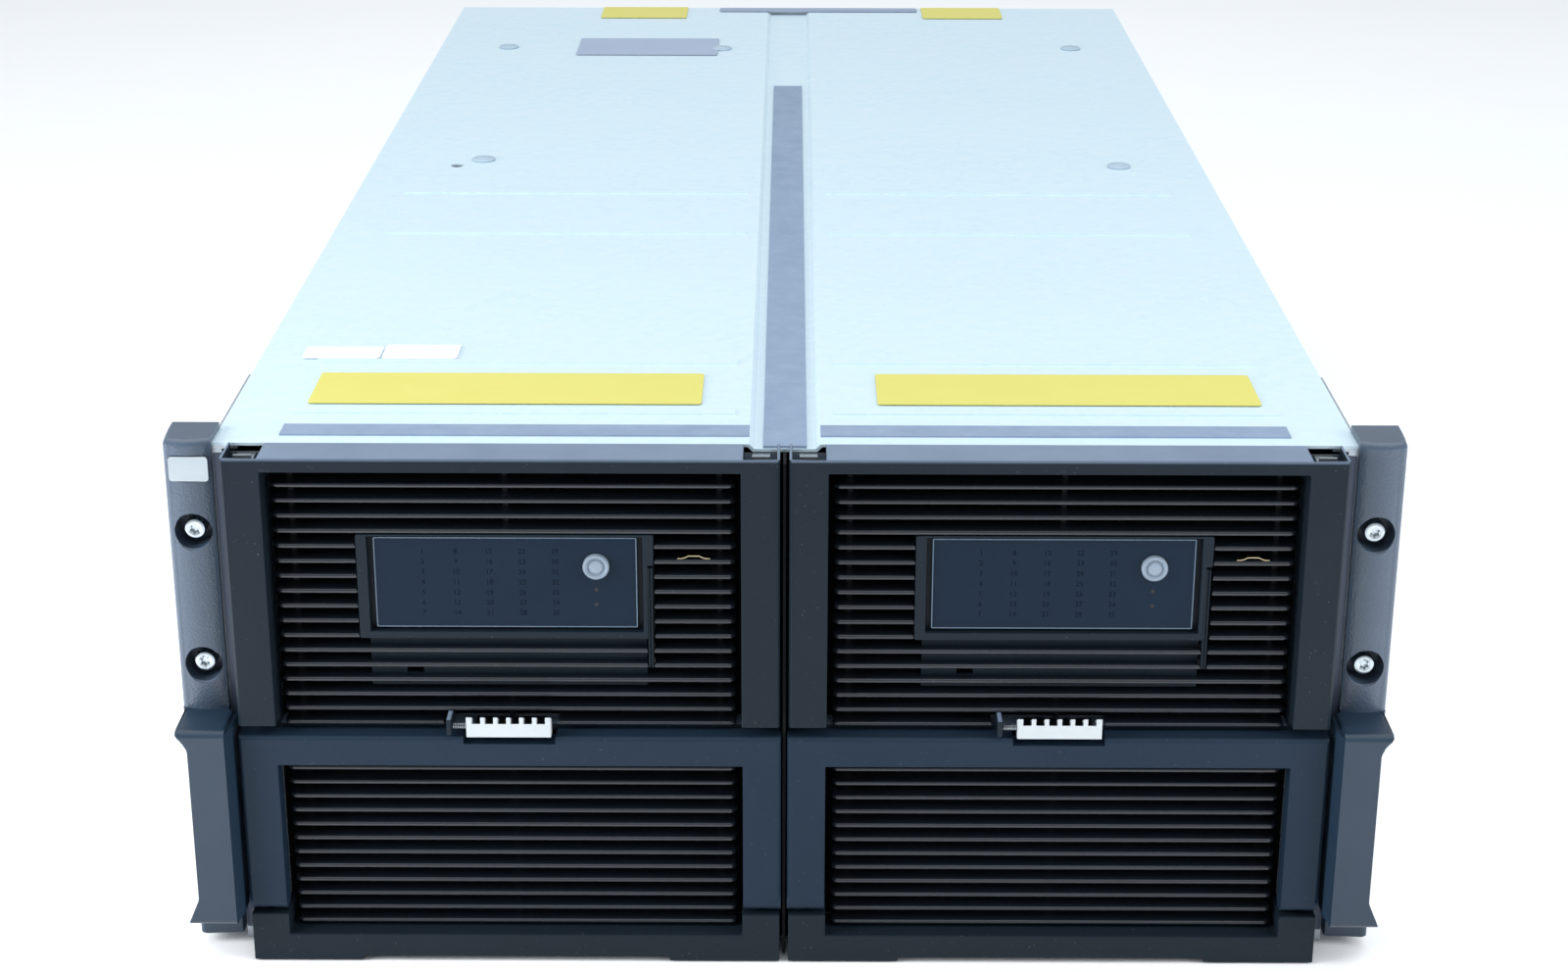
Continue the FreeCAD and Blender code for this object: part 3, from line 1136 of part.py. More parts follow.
def build_drawer(side, sign):
    """All pieces of one drawer."""
    centre = f"{sign} * drawer_centre"
    build_tray(side, sign)
    build_backplane(side, sign)
    build_drives(side, sign)
    build_slides(f"{side}_slide_inner_rails", sign, "inner")
    build_slides(f"{side}_slide_middle_rails", sign, "middle")
    build_upper_bezel(side, centre)
    build_upper_louvres(side, centre)
    lower_last = "lower_first - louvre_pitch * (lower_count - 1)"
    build_louvres(
        f"{side}_lower_louvres", centre, "lower_first", "lower_count",
        f"{lower_last} - louvre_height / 2", "lower_first + louvre_height / 2")
    build_display_frame(side, centre)
    build_display_window(side, centre)
    build_button(side, centre)
    build_latch(side, centre)
    build_latch_spring(side, centre)
    build_handle(side, centre)
    build_handle_pins(side, centre)
    build_lip(side, centre)


def build_rear(side, sign):
    """The rear modules behind one drawer."""
    inner, outer = f"{sign} * (bay_split - bay_step)", f"{sign} * (bay_split + bay_step)"
    build_power_supply(f"{side}_inner_power_supply", inner)
    build_power_supply(f"{side}_outer_power_supply", outer)
    build_io_module(f"{side}_io_module", inner)
    build_fan_module(f"{side}_fan_module", outer)
    build_fan_rotor(f"{side}_fan_rotor", outer)


def check_document():
    """Stops the run if any object failed or any sub-part has no valid shape."""
    for item in doc.Objects:
        if "Invalid" in item.State or "Error" in item.State:
            raise RuntimeError(f"{item.Label} failed: {item.State}")
    for piece in pieces:
        if piece.Shape.isNull() or not piece.Shape.isValid() or not piece.Shape.Solids:
            raise RuntimeError(f"{piece.Label} has no valid shape")


def export_pieces():
    """Writes each sub-part to a file that is named after it."""
    os.makedirs("parts", exist_ok=True)
    for piece in pieces:
        piece.Shape.exportStep(os.path.join("parts", f"{piece.Label}.step"))


def main():
    """Builds, checks and writes the enclosure."""
    set_up_sizes()
    build_base_pan()
    build_top_cover()
    build_seal_strips()
    build_centre_divider()
    build_rack_screws()
    build_outer_slides()
    build_midplane()
    build_module_cage()
    for side, sign in (("left", -1), ("right", 1)):
        build_side_panel(side, sign)
        build_rack_flange(side, sign)
        build_ear_cover(side, sign)
        build_ear_grip(side, sign)
        build_drawer(side, sign)
        build_rear(side, sign)
    doc.recompute()
    check_document()
    export_pieces()


main()
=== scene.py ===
"""Looks of a rack-mounted disk enclosure with two louvred drawers, built round its CAD frame.

Sizes in the classes are millimetres in the frame of the CAD model. Finished meshes are metres.
"""

import logging
import math
from collections.abc import Callable, Iterable, Sequence
from dataclasses import dataclass, field, replace
from enum import Enum
from typing import Any

import bmesh
import bpy
from mathutils import Matrix, Vector


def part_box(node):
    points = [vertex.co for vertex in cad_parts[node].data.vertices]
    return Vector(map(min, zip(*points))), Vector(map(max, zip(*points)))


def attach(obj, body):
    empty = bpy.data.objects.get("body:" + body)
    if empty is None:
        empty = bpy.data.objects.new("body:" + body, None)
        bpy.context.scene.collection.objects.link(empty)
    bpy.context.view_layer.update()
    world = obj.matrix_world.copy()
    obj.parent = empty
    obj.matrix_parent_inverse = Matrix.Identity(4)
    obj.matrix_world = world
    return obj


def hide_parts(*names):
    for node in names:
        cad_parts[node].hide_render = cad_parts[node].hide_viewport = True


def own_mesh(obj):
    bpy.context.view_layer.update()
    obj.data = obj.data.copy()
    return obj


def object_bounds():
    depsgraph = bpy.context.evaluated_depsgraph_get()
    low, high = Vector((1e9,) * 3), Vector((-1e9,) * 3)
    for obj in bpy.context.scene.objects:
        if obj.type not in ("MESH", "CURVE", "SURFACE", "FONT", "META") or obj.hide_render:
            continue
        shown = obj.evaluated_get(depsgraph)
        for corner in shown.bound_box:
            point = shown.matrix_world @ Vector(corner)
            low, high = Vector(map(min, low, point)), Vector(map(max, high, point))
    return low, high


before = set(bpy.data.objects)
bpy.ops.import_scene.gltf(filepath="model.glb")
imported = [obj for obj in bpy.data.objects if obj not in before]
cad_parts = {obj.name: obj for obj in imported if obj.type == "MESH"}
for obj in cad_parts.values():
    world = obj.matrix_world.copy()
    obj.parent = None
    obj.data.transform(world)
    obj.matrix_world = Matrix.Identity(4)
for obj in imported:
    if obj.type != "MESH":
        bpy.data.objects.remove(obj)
CAD_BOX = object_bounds()
MM = 0.001
# Angles in degrees from which an edge stays sharp, in general and on rounded copies, and from
# which it is a corner to round.
SHARP, SHARP_MOULDED, CORNER = 40.0, 20.0, 35.0
# Places closer than this count as one, and points closer than these are welded.
NEAR, WELD, WELD_COPY = 0.01, 1e-4, 2e-3

Flat = tuple[float, float]
Triple = tuple[float, float, float]
Quad = tuple[float, float, float, float]
Profile = Sequence[tuple[float, ...]]
Solid = bmesh.types.BMesh
Piece = bpy.types.Object
Socket = bpy.types.NodeSocket
Tree = bpy.types.NodeTree
log = logging.getLogger("disk_enclosure")


class Side(Enum):
    """The two sides, as seen from the front."""

    LEFT = "left"
    RIGHT = "right"


class Plane(Enum):
    """Planes that an outline is drawn on. The values say which coordinate gives X, Y and Z."""

    LEVEL = (0, 1, 2)
    FRONT = (0, 2, 1)
    FLANK = (2, 0, 1)

    def spot(self, *given: float) -> Vector:
        """Gives the place of a point from two coordinates on the plane and its height above it."""
        return Vector([given[i] for i in self.value])


class Pattern(Enum):
    """Surface patterns that the finishes use."""

    PEBBLE = "moulded pebble grain"
    SKIN = "smooth moulded skin"
    SPANGLE = "zinc crystals"
    BRUSHED = "fine parallel lines"
    FIBRE = "paper and film"


def linear(code: str) -> Quad:
    """Turns an sRGB hex colour into linear RGBA.

    Args:
        code: Colour such as "#2b3440".

    Returns:
        Linear red, green, blue and an alpha of one.
    """
    parts = [int(code[i:i + 2], 16) / 255 for i in (1, 3, 5)]
    red, green, blue = (p / 12.92 if p <= 0.04045 else ((p + 0.055) / 1.055) ** 2.4 for p in parts)
    return red, green, blue, 1.0


def add_node(tree: Tree, kind: str, inputs: dict[Any, Any] | None = None, **settings: Any) -> bpy.types.Node:
    """Adds a node with its settings, values and links.

    Args:
        tree: Node tree that gets the node.
        kind: Type name of the node.
        inputs: Value or linked socket for each input, by its name or number.
        settings: Properties of the node.

    Returns:
        The new node.
    """
    node = tree.nodes.new(kind)
    for name, setting in settings.items():
        setattr(node, name, setting)
    for key, given in (inputs or {}).items():
        if isinstance(given, bpy.types.NodeSocket):
            tree.links.new(given, node.inputs[key])
        else:
            node.inputs[key].default_value = given
    return node


def noise(tree: Tree, spot: Socket, scale: float, detail: float, rough: float = 0.5) -> Socket:
    """Adds a noise and gives its value."""
    return add_node(tree, "ShaderNodeTexNoise", {
        "Vector": spot, "Scale": scale, "Detail": detail, "Roughness": rough}).outputs[0]


def ranged(tree: Tree, given: Socket, limits: dict[str, float]) -> Socket:
    """Maps a value from one range to another."""
    return add_node(tree, "ShaderNodeMapRange", {"Value": given, **limits}).outputs[0]


def mixed(tree: Tree, share: Socket, under: Any, over: Any) -> Socket:
    """Mixes two colours by a share."""
    return add_node(tree, "ShaderNodeMix", {0: share, 6: under, 7: over}, data_type="RGBA").outputs[2]


def product(tree: Tree, first: Socket, second: Socket) -> Socket:
    """Multiplies two values."""
    return add_node(tree, "ShaderNodeMath", {0: first, 1: second}, operation="MULTIPLY").outputs[0]


@dataclass(frozen=True)
class Finish:
    """A surface: what it is made of, and how it was made.

    Attributes:
        name: Name of the material.
        base: Colour in sRGB hex.
        tint: Colour that the pattern shades to.
        rough: Lowest and highest roughness.
        grain: Size of the pattern in millimetres.
        relief: Depth of the pattern in millimetres.
        pattern: Pattern of the surface.
        cloud: Size of the slow change of tone in millimetres.
        metallic: One for a bare metal.
        specular: Strength of the gloss.
        coat: Strength of a clear layer.
        specks: Share of small pale dust specks.
        top_sheen: Share of the pale painted highlight on faces that look up, as if lit from above.
    """

    name: str
    base: str
    tint: str
    rough: Flat
    grain: float
    relief: float
    pattern: Pattern = Pattern.SKIN
    cloud: float = 40.0
    metallic: float = 0.0
    specular: float = 0.5
    coat: float = 0.0
    specks: float = 0.0
    top_sheen: float = 0.0

    def material(self) -> bpy.types.Material:
        """Gives the material, and makes it the first time.

        Returns:
            The material.
        """
        made = bpy.data.materials.get(self.name)
        if made is not None:
            return made
        made = bpy.data.materials.new(self.name)
        made.use_nodes = True
        tree = made.node_tree
        tree.nodes.clear()
        spot = add_node(tree, "ShaderNodeTexCoord").outputs["Object"]
        tone, height = self.draw_pattern(tree, spot)
        colour = mixed(tree, tone, linear(self.base), linear(self.tint))
        if self.specks:
            colour = self.add_specks(tree, spot, colour)
        # Painted highlight: faces that look up are lightened as if lit from above.
        if self.top_sheen:
            colour = self.add_top_sheen(tree, tone, colour)
        rough = ranged(tree, tone, {"To Min": self.rough[0], "To Max": self.rough[1]})
        bump = add_node(tree, "ShaderNodeBump", {
            "Height": height, "Distance": self.relief * MM, "Strength": 1.0})
        shader = add_node(tree, "ShaderNodeBsdfPrincipled", {
            "Base Color": colour, "Roughness": rough, "Normal": bump.outputs[0],
            "Metallic": self.metallic, "Specular IOR Level": self.specular,
            "Coat Weight": self.coat, "Coat Roughness": 0.06})
        add_node(tree, "ShaderNodeOutputMaterial", {"Surface": shader.outputs[0]})
        return made

    def draw_pattern(self, tree: Tree, spot: Socket) -> tuple[Socket, Socket]:
        """Adds the nodes of the pattern.

        Args:
            tree: Node tree of the material.
            spot: Coordinates to draw on.

        Returns:
            The change of tone, from zero to one, and the height.
        """
        fine = 1 / (self.grain * MM)
        tone = noise(tree, spot, 1 / (self.cloud * MM), 4.0, 0.6)
        if self.pattern is Pattern.PEBBLE:
            cells = add_node(tree, "ShaderNodeTexVoronoi", {
                "Vector": spot, "Scale": fine, "Smoothness": 0.7}, feature="SMOOTH_F1")
            return tone, cells.outputs["Distance"]
        if self.pattern is Pattern.SPANGLE:
            cells = add_node(tree, "ShaderNodeTexVoronoi", {"Vector": spot, "Scale": fine})
            split = add_node(tree, "ShaderNodeSeparateColor", {"Color": cells.outputs["Color"]})
            return product(tree, split.outputs[0], tone), noise(tree, spot, fine * 6, 3.0)
        if self.pattern is Pattern.BRUSHED:
            drawn = add_node(tree, "ShaderNodeMapping", {"Vector": spot, "Scale": (0.02, 1.0, 1.0)})
            lines = noise(tree, drawn.outputs[0], fine, 3.0)
            return lines, lines
        return tone, noise(tree, spot, fine, 2.0)

    def add_specks(self, tree: Tree, spot: Socket, colour: Socket) -> Socket:
        """Strews small pale dust specks over a colour.

        Args:
            tree: Node tree of the material.
            spot: Coordinates to draw on.
            colour: Colour under the dust.

        Returns:
            The colour with its dust.
        """
        spots = noise(tree, spot, 1 / (1.2 * MM), 1.0)
        share = ranged(tree, spots, {"From Min": 0.74, "From Max": 0.8, "To Max": self.specks})
        return mixed(tree, share, colour, linear("#9aa4ac"))

    def add_top_sheen(self, tree: Tree, tone: Socket, colour: Socket) -> Socket:
        """Paints a pale highlight over the faces that look up, as if lit from above.

        Args:
            tree: Node tree of the material.
            tone: Slow change of tone, which thins the painted highlight here and there.
            colour: Colour under the painted highlight.

        Returns:
            The colour with its painted highlight.
        """
        normal = add_node(tree, "ShaderNodeNewGeometry").outputs["True Normal"]
        upward = add_node(tree, "ShaderNodeSeparateXYZ", {"Vector": normal}).outputs["Z"]
        # Painted highlight, stronger the more a face looks up.
        film = ranged(tree, upward, {"From Min": 0.45, "From Max": 1.0, "To Max": self.top_sheen})
        thin = ranged(tree, tone, {"To Min": 1.2, "To Max": 0.8})
        return mixed(tree, product(tree, film, thin), colour, linear("#8fa3bd"))


# Hot-dip galvanised sheet: pale, cool and soft, with faint crystals a few millimetres across.
GALVANISED = Finish("galvanised_steel_cover", "#cfe4ef", "#c1dae8", (0.38, 0.5), 5.0, 0.004,
                    Pattern.SPANGLE, cloud=90.0, metallic=0.3)
# Zinc-plated sheet of the walls: greyer and a little glossier than the cover.
ZINC = Finish("zinc_plated_steel", "#b9c2c9", "#a2acb5", (0.3, 0.45), 4.0, 0.01,
              Pattern.SPANGLE, cloud=60.0, metallic=0.85)
# Moulded ABS of the ears: dark slate with a coarse pebble grain that breaks up the light.
# The real grain is near 0.4 mm and is drawn at 0.9 mm so that it shows.
EAR_ABS = Finish("abs_pebbled_slate", "#415063", "#394858", (0.3, 0.38), 0.9, 0.1,
                 Pattern.PEBBLE, cloud=30.0, specular=0.7, specks=0.1)
# Glass-filled nylon of the pull grips: dark slate, smooth, with a broad soft sheen.
GRIP_NYLON = Finish("nylon_slate_grips", "#213345", "#1c2c3c", (0.34, 0.44), 0.8, 0.015, cloud=25.0)
# PC-ABS of the bezels: graphite, satin, with a very fine spark grain and a painted highlight on top faces.
BEZEL_ABS = Finish("pc_abs_graphite", "#1a242d", "#161f27", (0.36, 0.46), 0.5, 0.02,
                   cloud=35.0, specular=0.15, specks=0.12, top_sheen=0.55)
# The same plastic low on the front, without the painted highlight on faces that look up.
LIP_ABS = replace(BEZEL_ABS, name="pc_abs_graphite_clean", top_sheen=0.0)
# The same plastic in the louvres, nearly black, so that only the noses catch light.
LOUVRE_ABS = Finish("pc_abs_black", "#181f27", "#141a21", (0.26, 0.36), 0.5, 0.01,
                    cloud=30.0, specular=0.8, specks=0.1)
# Handle plastic: slate blue, smoother than the bezel.
HANDLE_ABS = Finish("pc_abs_slate", "#1f2e3e", "#1a2837", (0.36, 0.46), 0.6, 0.015,
                    specular=0.15, specks=0.1)
# Tinted polycarbonate window: deep navy under a polished skin.
WINDOW_PC = Finish("polycarbonate_navy", "#0b2033", "#091b2b", (0.12, 0.18), 2.0, 0.003,
                   cloud=30.0, specular=0.12, coat=0.05)
# Ink under the window, only a little darker than the plastic.
NUMERAL_INK = Finish("ink_dark_navy", "#071626", "#051120", (0.3, 0.4), 0.4, 0.002,
                     Pattern.FIBRE, specular=0.05)
# Painted highlight: a light ring round the window, standing in for the light that its cut and polished edge
# catches.
PANE_HIGHLIGHT_PC = Finish("polycarbonate_cut_edge", "#5d7389", "#4e647a", (0.15, 0.25), 0.5, 0.003,
                 cloud=20.0, coat=0.2)
# Frosted polycarbonate of the push button: milky, with soft highlights on its rim.
BUTTON_PC = Finish("polycarbonate_frosted", "#8997a5", "#788898", (0.25, 0.35), 0.6, 0.008,
                   cloud=4.0, coat=0.3)
# Natural white acetal of the release latch.
LATCH_POM = Finish("acetal_white", "#c2c8cc", "#b7bfc4", (0.35, 0.45), 0.6, 0.01, cloud=10.0)
# Bright spring wire.
SPRING_STEEL = Finish("spring_steel_wire", "#c9cfd4", "#aab2b9", (0.2, 0.3), 0.3, 0.004,
                      Pattern.BRUSHED, metallic=1.0)
# Nickel-plated screws.
SCREW_STEEL = Finish("nickel_plated_steel", "#cfd8dd", "#b3bdc4", (0.22, 0.34), 0.7, 0.01,
                     cloud=3.0, metallic=1.0)
# Cold-drawn rail steel with a drawn line along its length.
RAIL_STEEL = Finish("drawn_rail_steel", "#aab2b8", "#8f989f", (0.28, 0.42), 0.6, 0.01,
                    Pattern.BRUSHED, metallic=1.0)
# Worn foam seal: grey-blue and blotchy.
SEAL_FOAM = Finish("foam_seal_grey", "#8a9cb3", "#72849c", (0.75, 0.9), 0.7, 0.08, cloud=12.0, specular=0.3)
# Glass-epoxy board under green solder mask.
BOARD_FR4 = Finish("glass_epoxy_board", "#1f5a3c", "#174a30", (0.3, 0.42), 1.0, 0.02, cloud=8.0)
# Machined cast aluminium of the drives.
DRIVE_CASE = Finish("cast_aluminium_drive", "#b4bac0", "#99a0a7", (0.34, 0.5), 0.8, 0.03,
                    cloud=20.0, metallic=0.9)
# Formed aluminium of the rear modules, bead blasted.
MODULE_CASE = Finish("blasted_aluminium", "#aeb6bd", "#9aa3ab", (0.4, 0.52), 0.6, 0.02, metallic=0.9)
# Black fan plastic.
FAN_PBT = Finish("pbt_black", "#1b1d20", "#15171a", (0.4, 0.5), 0.8, 0.02)
# Dull black steel: powder coat on the outer slide rails, and painted shade on the divider, which keeps the
# gap between the drawers dark.
BLACK_STEEL_AND_SHADE = Finish("powder_coated_black_steel", "#14171b", "#0f1215", (0.55, 0.7), 0.8, 0.04,
                      Pattern.PEBBLE, cloud=30.0, specular=0.2)
# Yellow vinyl film.
YELLOW_FILM = Finish("vinyl_yellow", "#cdc968", "#c7c25d", (0.35, 0.45), 1.0, 0.01, Pattern.FIBRE, cloud=30.0)
# White paper film.
WHITE_FILM = Finish("paper_white", "#f4f8f9", "#e9eff2", (0.6, 0.7), 0.6, 0.015, Pattern.FIBRE, cloud=25.0)
# Grey film on the rear of the cover.
GREY_FILM = Finish("vinyl_grey", "#97a8bf", "#8d9eb5", (0.5, 0.6), 0.8, 0.01, Pattern.FIBRE, cloud=25.0)
# Brass strip of the small retaining clip.
BRASS = Finish("brass_strip", "#d2c4a2", "#b8a983", (0.25, 0.4), 0.4, 0.005, Pattern.BRUSHED, metallic=1.0)
# Nylon hole plugs.
PLUG_NYLON = Finish("nylon_grey_plugs", "#a3b7c6", "#93a8b8", (0.4, 0.5), 0.6, 0.01, cloud=5.0)
# Brushed plate, anodised silver.
PLATE_ALUMINIUM = Finish("anodised_aluminium_plate", "#bcc5cb", "#aab5bc", (0.28, 0.4), 0.25, 0.004,
                         Pattern.BRUSHED, metallic=0.9)
# Painted shade: black, dull sheets with a foam grain behind the louvres and in the vents, standing in for the
# shade there, so that nothing shows through.
SHADE_SHEET_BLACK = Finish("filter_foam_black", "#08090b", "#050607", (0.9, 1.0), 1.2, 0.3,
                     Pattern.PEBBLE, cloud=20.0, specular=0.05)
# Grey vinyl edging on the front edges of the side panels.
EDGE_PVC = Finish("pvc_grey_edging", "#56647c", "#4c5970", (0.35, 0.45), 0.6, 0.01, cloud=20.0)
# A darker slate strip on the rear of the cover.
SLATE_STRIP = Finish("vinyl_slate", "#8b9cb3", "#8091a8", (0.5, 0.6), 0.8, 0.01, Pattern.FIBRE, cloud=25.0)
# Dark red plastic of the parts that a hand releases.
TOUCH_PBT = Finish("pbt_dark_red", "#7c2f38", "#6d2831", (0.35, 0.45), 0.6, 0.015, cloud=12.0)
# Clear green lamp lenses.
LAMP_PC = Finish("polycarbonate_green", "#5da56b", "#4d945c", (0.12, 0.2), 0.5, 0.004, cloud=2.0, coat=0.4)
# Black moulded wells and connector bodies, and painted shade on the latch's slide behind its plate.
BLACK_PBT_AND_SHADE = Finish("pbt_gloss_black", "#0c0e11", "#090b0d", (0.25, 0.35), 0.7, 0.01)
# Matt white paint of the studio floor.
FLOOR_PAINT = Finish("matt_white_floor", "#f6f8fa", "#f0f3f6", (0.8, 0.9), 4.0, 0.01,
                     Pattern.FIBRE, cloud=400.0, specular=0.1)


def place(node: str) -> tuple[Vector, Vector]:
    """Gives a CAD node's lowest and highest corner in millimetres."""
    low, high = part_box(node)
    return low / MM, high / MM


def behind_ears(depth: float) -> float:
    """Gives the Y of a depth behind the ears' front face."""
    return place("left_ear_cover")[0].y + depth


def rectangle(left: float, right: float, low: float, high: float, radius: float = 0.0,
              steps: int = 4) -> list[Flat]:
    """Gives the outline of a rectangle, with rounded corners if a radius is given.

    Args:
        left: Lowest first coordinate.
        right: Highest first coordinate.
        low: Lowest second coordinate.
        high: Highest second coordinate.
        radius: Radius of the corners.
        steps: Edges of each rounded corner.

    Returns:
        The corners in order.
    """
    if not radius:
        return [(left, low), (right, low), (right, high), (left, high)]
    outline = []
    for u, v, start in ((right - radius, low + radius, -90), (right - radius, high - radius, 0),
                        (left + radius, high - radius, 90), (left + radius, low + radius, 180)):
        for k in range(steps + 1):
            angle = math.radians(start + 90 * k / steps)
            outline.append((u + radius * math.cos(angle), v + radius * math.sin(angle)))
    return outline


def inset(box: Quad, margin: float, radius: float = 0.0, steps: int = 4) -> list[Flat]:
    """Gives the outline of a box of left, right, low and high, drawn in by a margin."""
    left, right, low, high = box
    return rectangle(left + margin, right - margin, low + margin, high - margin, radius, steps)


def centred(u: float, v: float, width: float, height: float) -> Quad:
    """Gives the left, right, low and high of a box about a point."""
    return u - width / 2, u + width / 2, v - height / 2, v + height / 2


def loft(rings: Sequence[Sequence[Triple]], plane: Plane, caps: bool = False, looped: bool = False) -> Solid:
    """Skins a row of rings.

    Args:
        rings: As many points in each: two coordinates on the plane and the height above it.
        plane: Plane of the rings.
        caps: Whether the first and the last ring are filled.
        looped: Whether the last ring is joined to the first.

    Returns:
        The solid.
    """
    shape = bmesh.new()
    loops = [[shape.verts.new(plane.spot(*point)) for point in ring] for ring in rings]
    for end in (loops[0], loops[-1]) if caps else ():
        shape.faces.new(end)
    for ring, following in zip(loops, loops[1:] + loops[:looped]):
        for k, corner in enumerate(ring):
            m = (k + 1) % len(ring)
            shape.faces.new((corner, ring[m], following[m], following[k]))
    bmesh.ops.remove_doubles(shape, verts=shape.verts, dist=WELD)
    bmesh.ops.recalc_face_normals(shape, faces=shape.faces)
    return shape


def prism(outline: Sequence[Flat], low: float, high: float, plane: Plane) -> Solid:
    """Draws an outline out into a solid between two heights above its plane."""
    return loft([[(u, v, w) for u, v in outline] for w in (low, high)], plane, caps=True)


def surround(outer: Sequence[Flat], inner: Sequence[Flat], low: float, high: float, plane: Plane) -> Solid:
    """Draws the space between two outlines with as many corners out into a solid."""
    rings = ((outer, low), (outer, high), (inner, high), (inner, low))
    return loft([[(u, v, w) for u, v in outline] for outline, w in rings], plane, looped=True)


def lathe(profile: Profile, u: float, v: float, plane: Plane, steps: int) -> Solid:
    """Turns a profile about the plane's normal axis.

    Args:
        profile: Radius, place along the axis and, for a star of six lobes, their height at each point.
        u: First coordinate of the axis on the plane.
        v: Second coordinate of the axis on the plane.
        plane: Plane that the axis stands on.
        steps: Number of edges round the axis.

    Returns:
        The turned solid.
    """
    turns = [math.tau * k / steps for k in range(steps)]
    rings = []
    for radius, along, *lobe in profile:
        reaches = [radius + sum(lobe) * math.cos(6 * a) for a in turns]
        rings.append([(u + r * math.cos(a), v + r * math.sin(a), along) for a, r in zip(turns, reaches)])
    return loft(rings, plane)


def shifted(profile: Profile, start: float, way: float = 1.0) -> list[tuple[float, ...]]:
    """Sets a profile on a place along its axis, turned round where way is minus one."""
    return [(radius, start + way * along, *lobe) for radius, along, *lobe in profile]


def joined(shapes: Iterable[Solid]) -> Solid:
    """Puts several solids into one shape.

    Args:
        shapes: The solids, which are used up.

    Returns:
        The shape that holds them all.
    """
    whole = bmesh.new()
    for shape in shapes:
        carried = bpy.data.meshes.new("carried")
        shape.to_mesh(carried)
        shape.free()
        whole.from_mesh(carried)
        bpy.data.meshes.remove(carried)
    return whole


def soften(shape: Solid, width: float, segments: int, chosen: Callable[[bmesh.types.BMEdge], bool],
           clamp: bool = True) -> Solid:
    """Rounds the chosen edges of a solid.

    Args:
        shape: The solid.
        width: How far the rounding reaches from the edge.
        segments: Faces across the rounding.
        chosen: Tells whether an edge is rounded.
        clamp: Narrows every rounding where two of them would meet.

    Returns:
        The same solid.
    """
    bmesh.ops.bevel(shape, geom=[e for e in shape.edges if chosen(e)], offset=width, offset_type="OFFSET",
                    segments=segments, profile=0.5, affect="EDGES", clamp_overlap=clamp)
    return shape


def is_corner(shorter: float) -> Callable[[bmesh.types.BMEdge], bool]:
    """Gives the test for a sharp edge that is longer than a length."""
    return lambda edge: (len(edge.link_faces) == 2 and edge.calc_length() > shorter
                         and edge.calc_face_angle(0.0) > math.radians(CORNER))


def moulded(node: str, width: float, segments: int = 2, shorter: float = 2.5) -> Solid:
    """Copies a CAD node and rounds its sharp edges, as a mould does.

    Args:
        node: Name of the node.
        width: How far the rounding reaches from an edge.
        segments: Faces across the rounding.
        shorter: Edges under this length stay sharp.

    Returns:
        The rounded copy.
    """
    shape = bmesh.new()
    shape.from_mesh(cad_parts[node].data)
    bmesh.ops.scale(shape, vec=(1 / MM,) * 3, verts=shape.verts)
    bmesh.ops.remove_doubles(shape, verts=shape.verts, dist=WELD_COPY)
    bmesh.ops.dissolve_limit(shape, angle_limit=math.radians(0.8), verts=shape.verts, edges=shape.edges)
    return soften(shape, width, segments, is_corner(shorter), clamp=False)


def shade(mesh: bpy.types.Mesh, sharp: float) -> None:
    """Shades a mesh smoothly, up to an angle in degrees from which an edge stays sharp."""
    mesh.shade_smooth()
    mesh.set_sharp_from_angle(angle=math.radians(sharp))


def to_mesh(name: str, shape: Solid, finish: Finish, sharp: float = SHARP) -> bpy.types.Mesh:
    """Turns a shape into a shaded mesh in metres.

    Args:
        name: Name of the mesh.
        shape: The shape, which is used up.
        finish: Its surface.
        sharp: Angle in degrees from which an edge stays sharp.

    Returns:
        The mesh.
    """
    bmesh.ops.scale(shape, vec=(MM,) * 3, verts=shape.verts)
    mesh = bpy.data.meshes.new(name)
    shape.to_mesh(mesh)
    shape.free()
    shade(mesh, sharp)
    mesh.materials.append(finish.material())
    return mesh


def hold_mesh(piece: Piece) -> Piece:
    """Turns a piece with modifiers into a plain mesh.

    Args:
        piece: The piece.

    Returns:
        The same piece.
    """
    graph = bpy.context.evaluated_depsgraph_get()
    mesh = bpy.data.meshes.new_from_object(piece.evaluated_get(graph), preserve_all_data_layers=True,
                                           depsgraph=graph)
    piece.modifiers.clear()
    piece.data = mesh
    return piece


def even(piece: Piece) -> Piece:
    """Keeps flat faces flat beside rounded edges, and makes the piece a plain mesh."""
    piece.modifiers.new("even_faces", "WEIGHTED_NORMAL").keep_sharp = True
    return hold_mesh(piece)


def add_object(name: str, data: bpy.types.ID) -> Piece:
    """Puts an object into the scene.

    Args:
        name: Name of the object.
        data: Its mesh, text, light or camera.

    Returns:
        The object.
    """
    piece = bpy.data.objects.new(name, data)
    bpy.context.scene.collection.objects.link(piece)
    return piece


def add_piece(name: str, shape: Solid, finish: Finish, sharp: float = SHARP) -> Piece:
    """Makes a finished piece of a shape, which is used up."""
    return even(add_object(name, to_mesh(name, shape, finish, sharp)))


def carved(name: str, shape: Solid, cutters: Iterable[Solid], finish: Finish) -> Piece:
    """Makes a finished piece of a shape with other solids cut out of it.

    Args:
        name: Name of the piece.
        shape: The shape, which is used up.
        cutters: The solids to cut out, which are used up.
        finish: Its surface.

    Returns:
        The piece.
    """
    piece = add_object(name, to_mesh(name, shape, finish))
    tool = add_object(f"{name}_cutter", to_mesh(f"{name}_cutter", joined(cutters), finish))
    cut = piece.modifiers.new("cut", "BOOLEAN")
    cut.operation = "DIFFERENCE"
    cut.solver = "EXACT"
    cut.object = tool
    hold_mesh(piece)
    bpy.data.objects.remove(tool)
    shade(piece.data, SHARP)
    return even(piece)


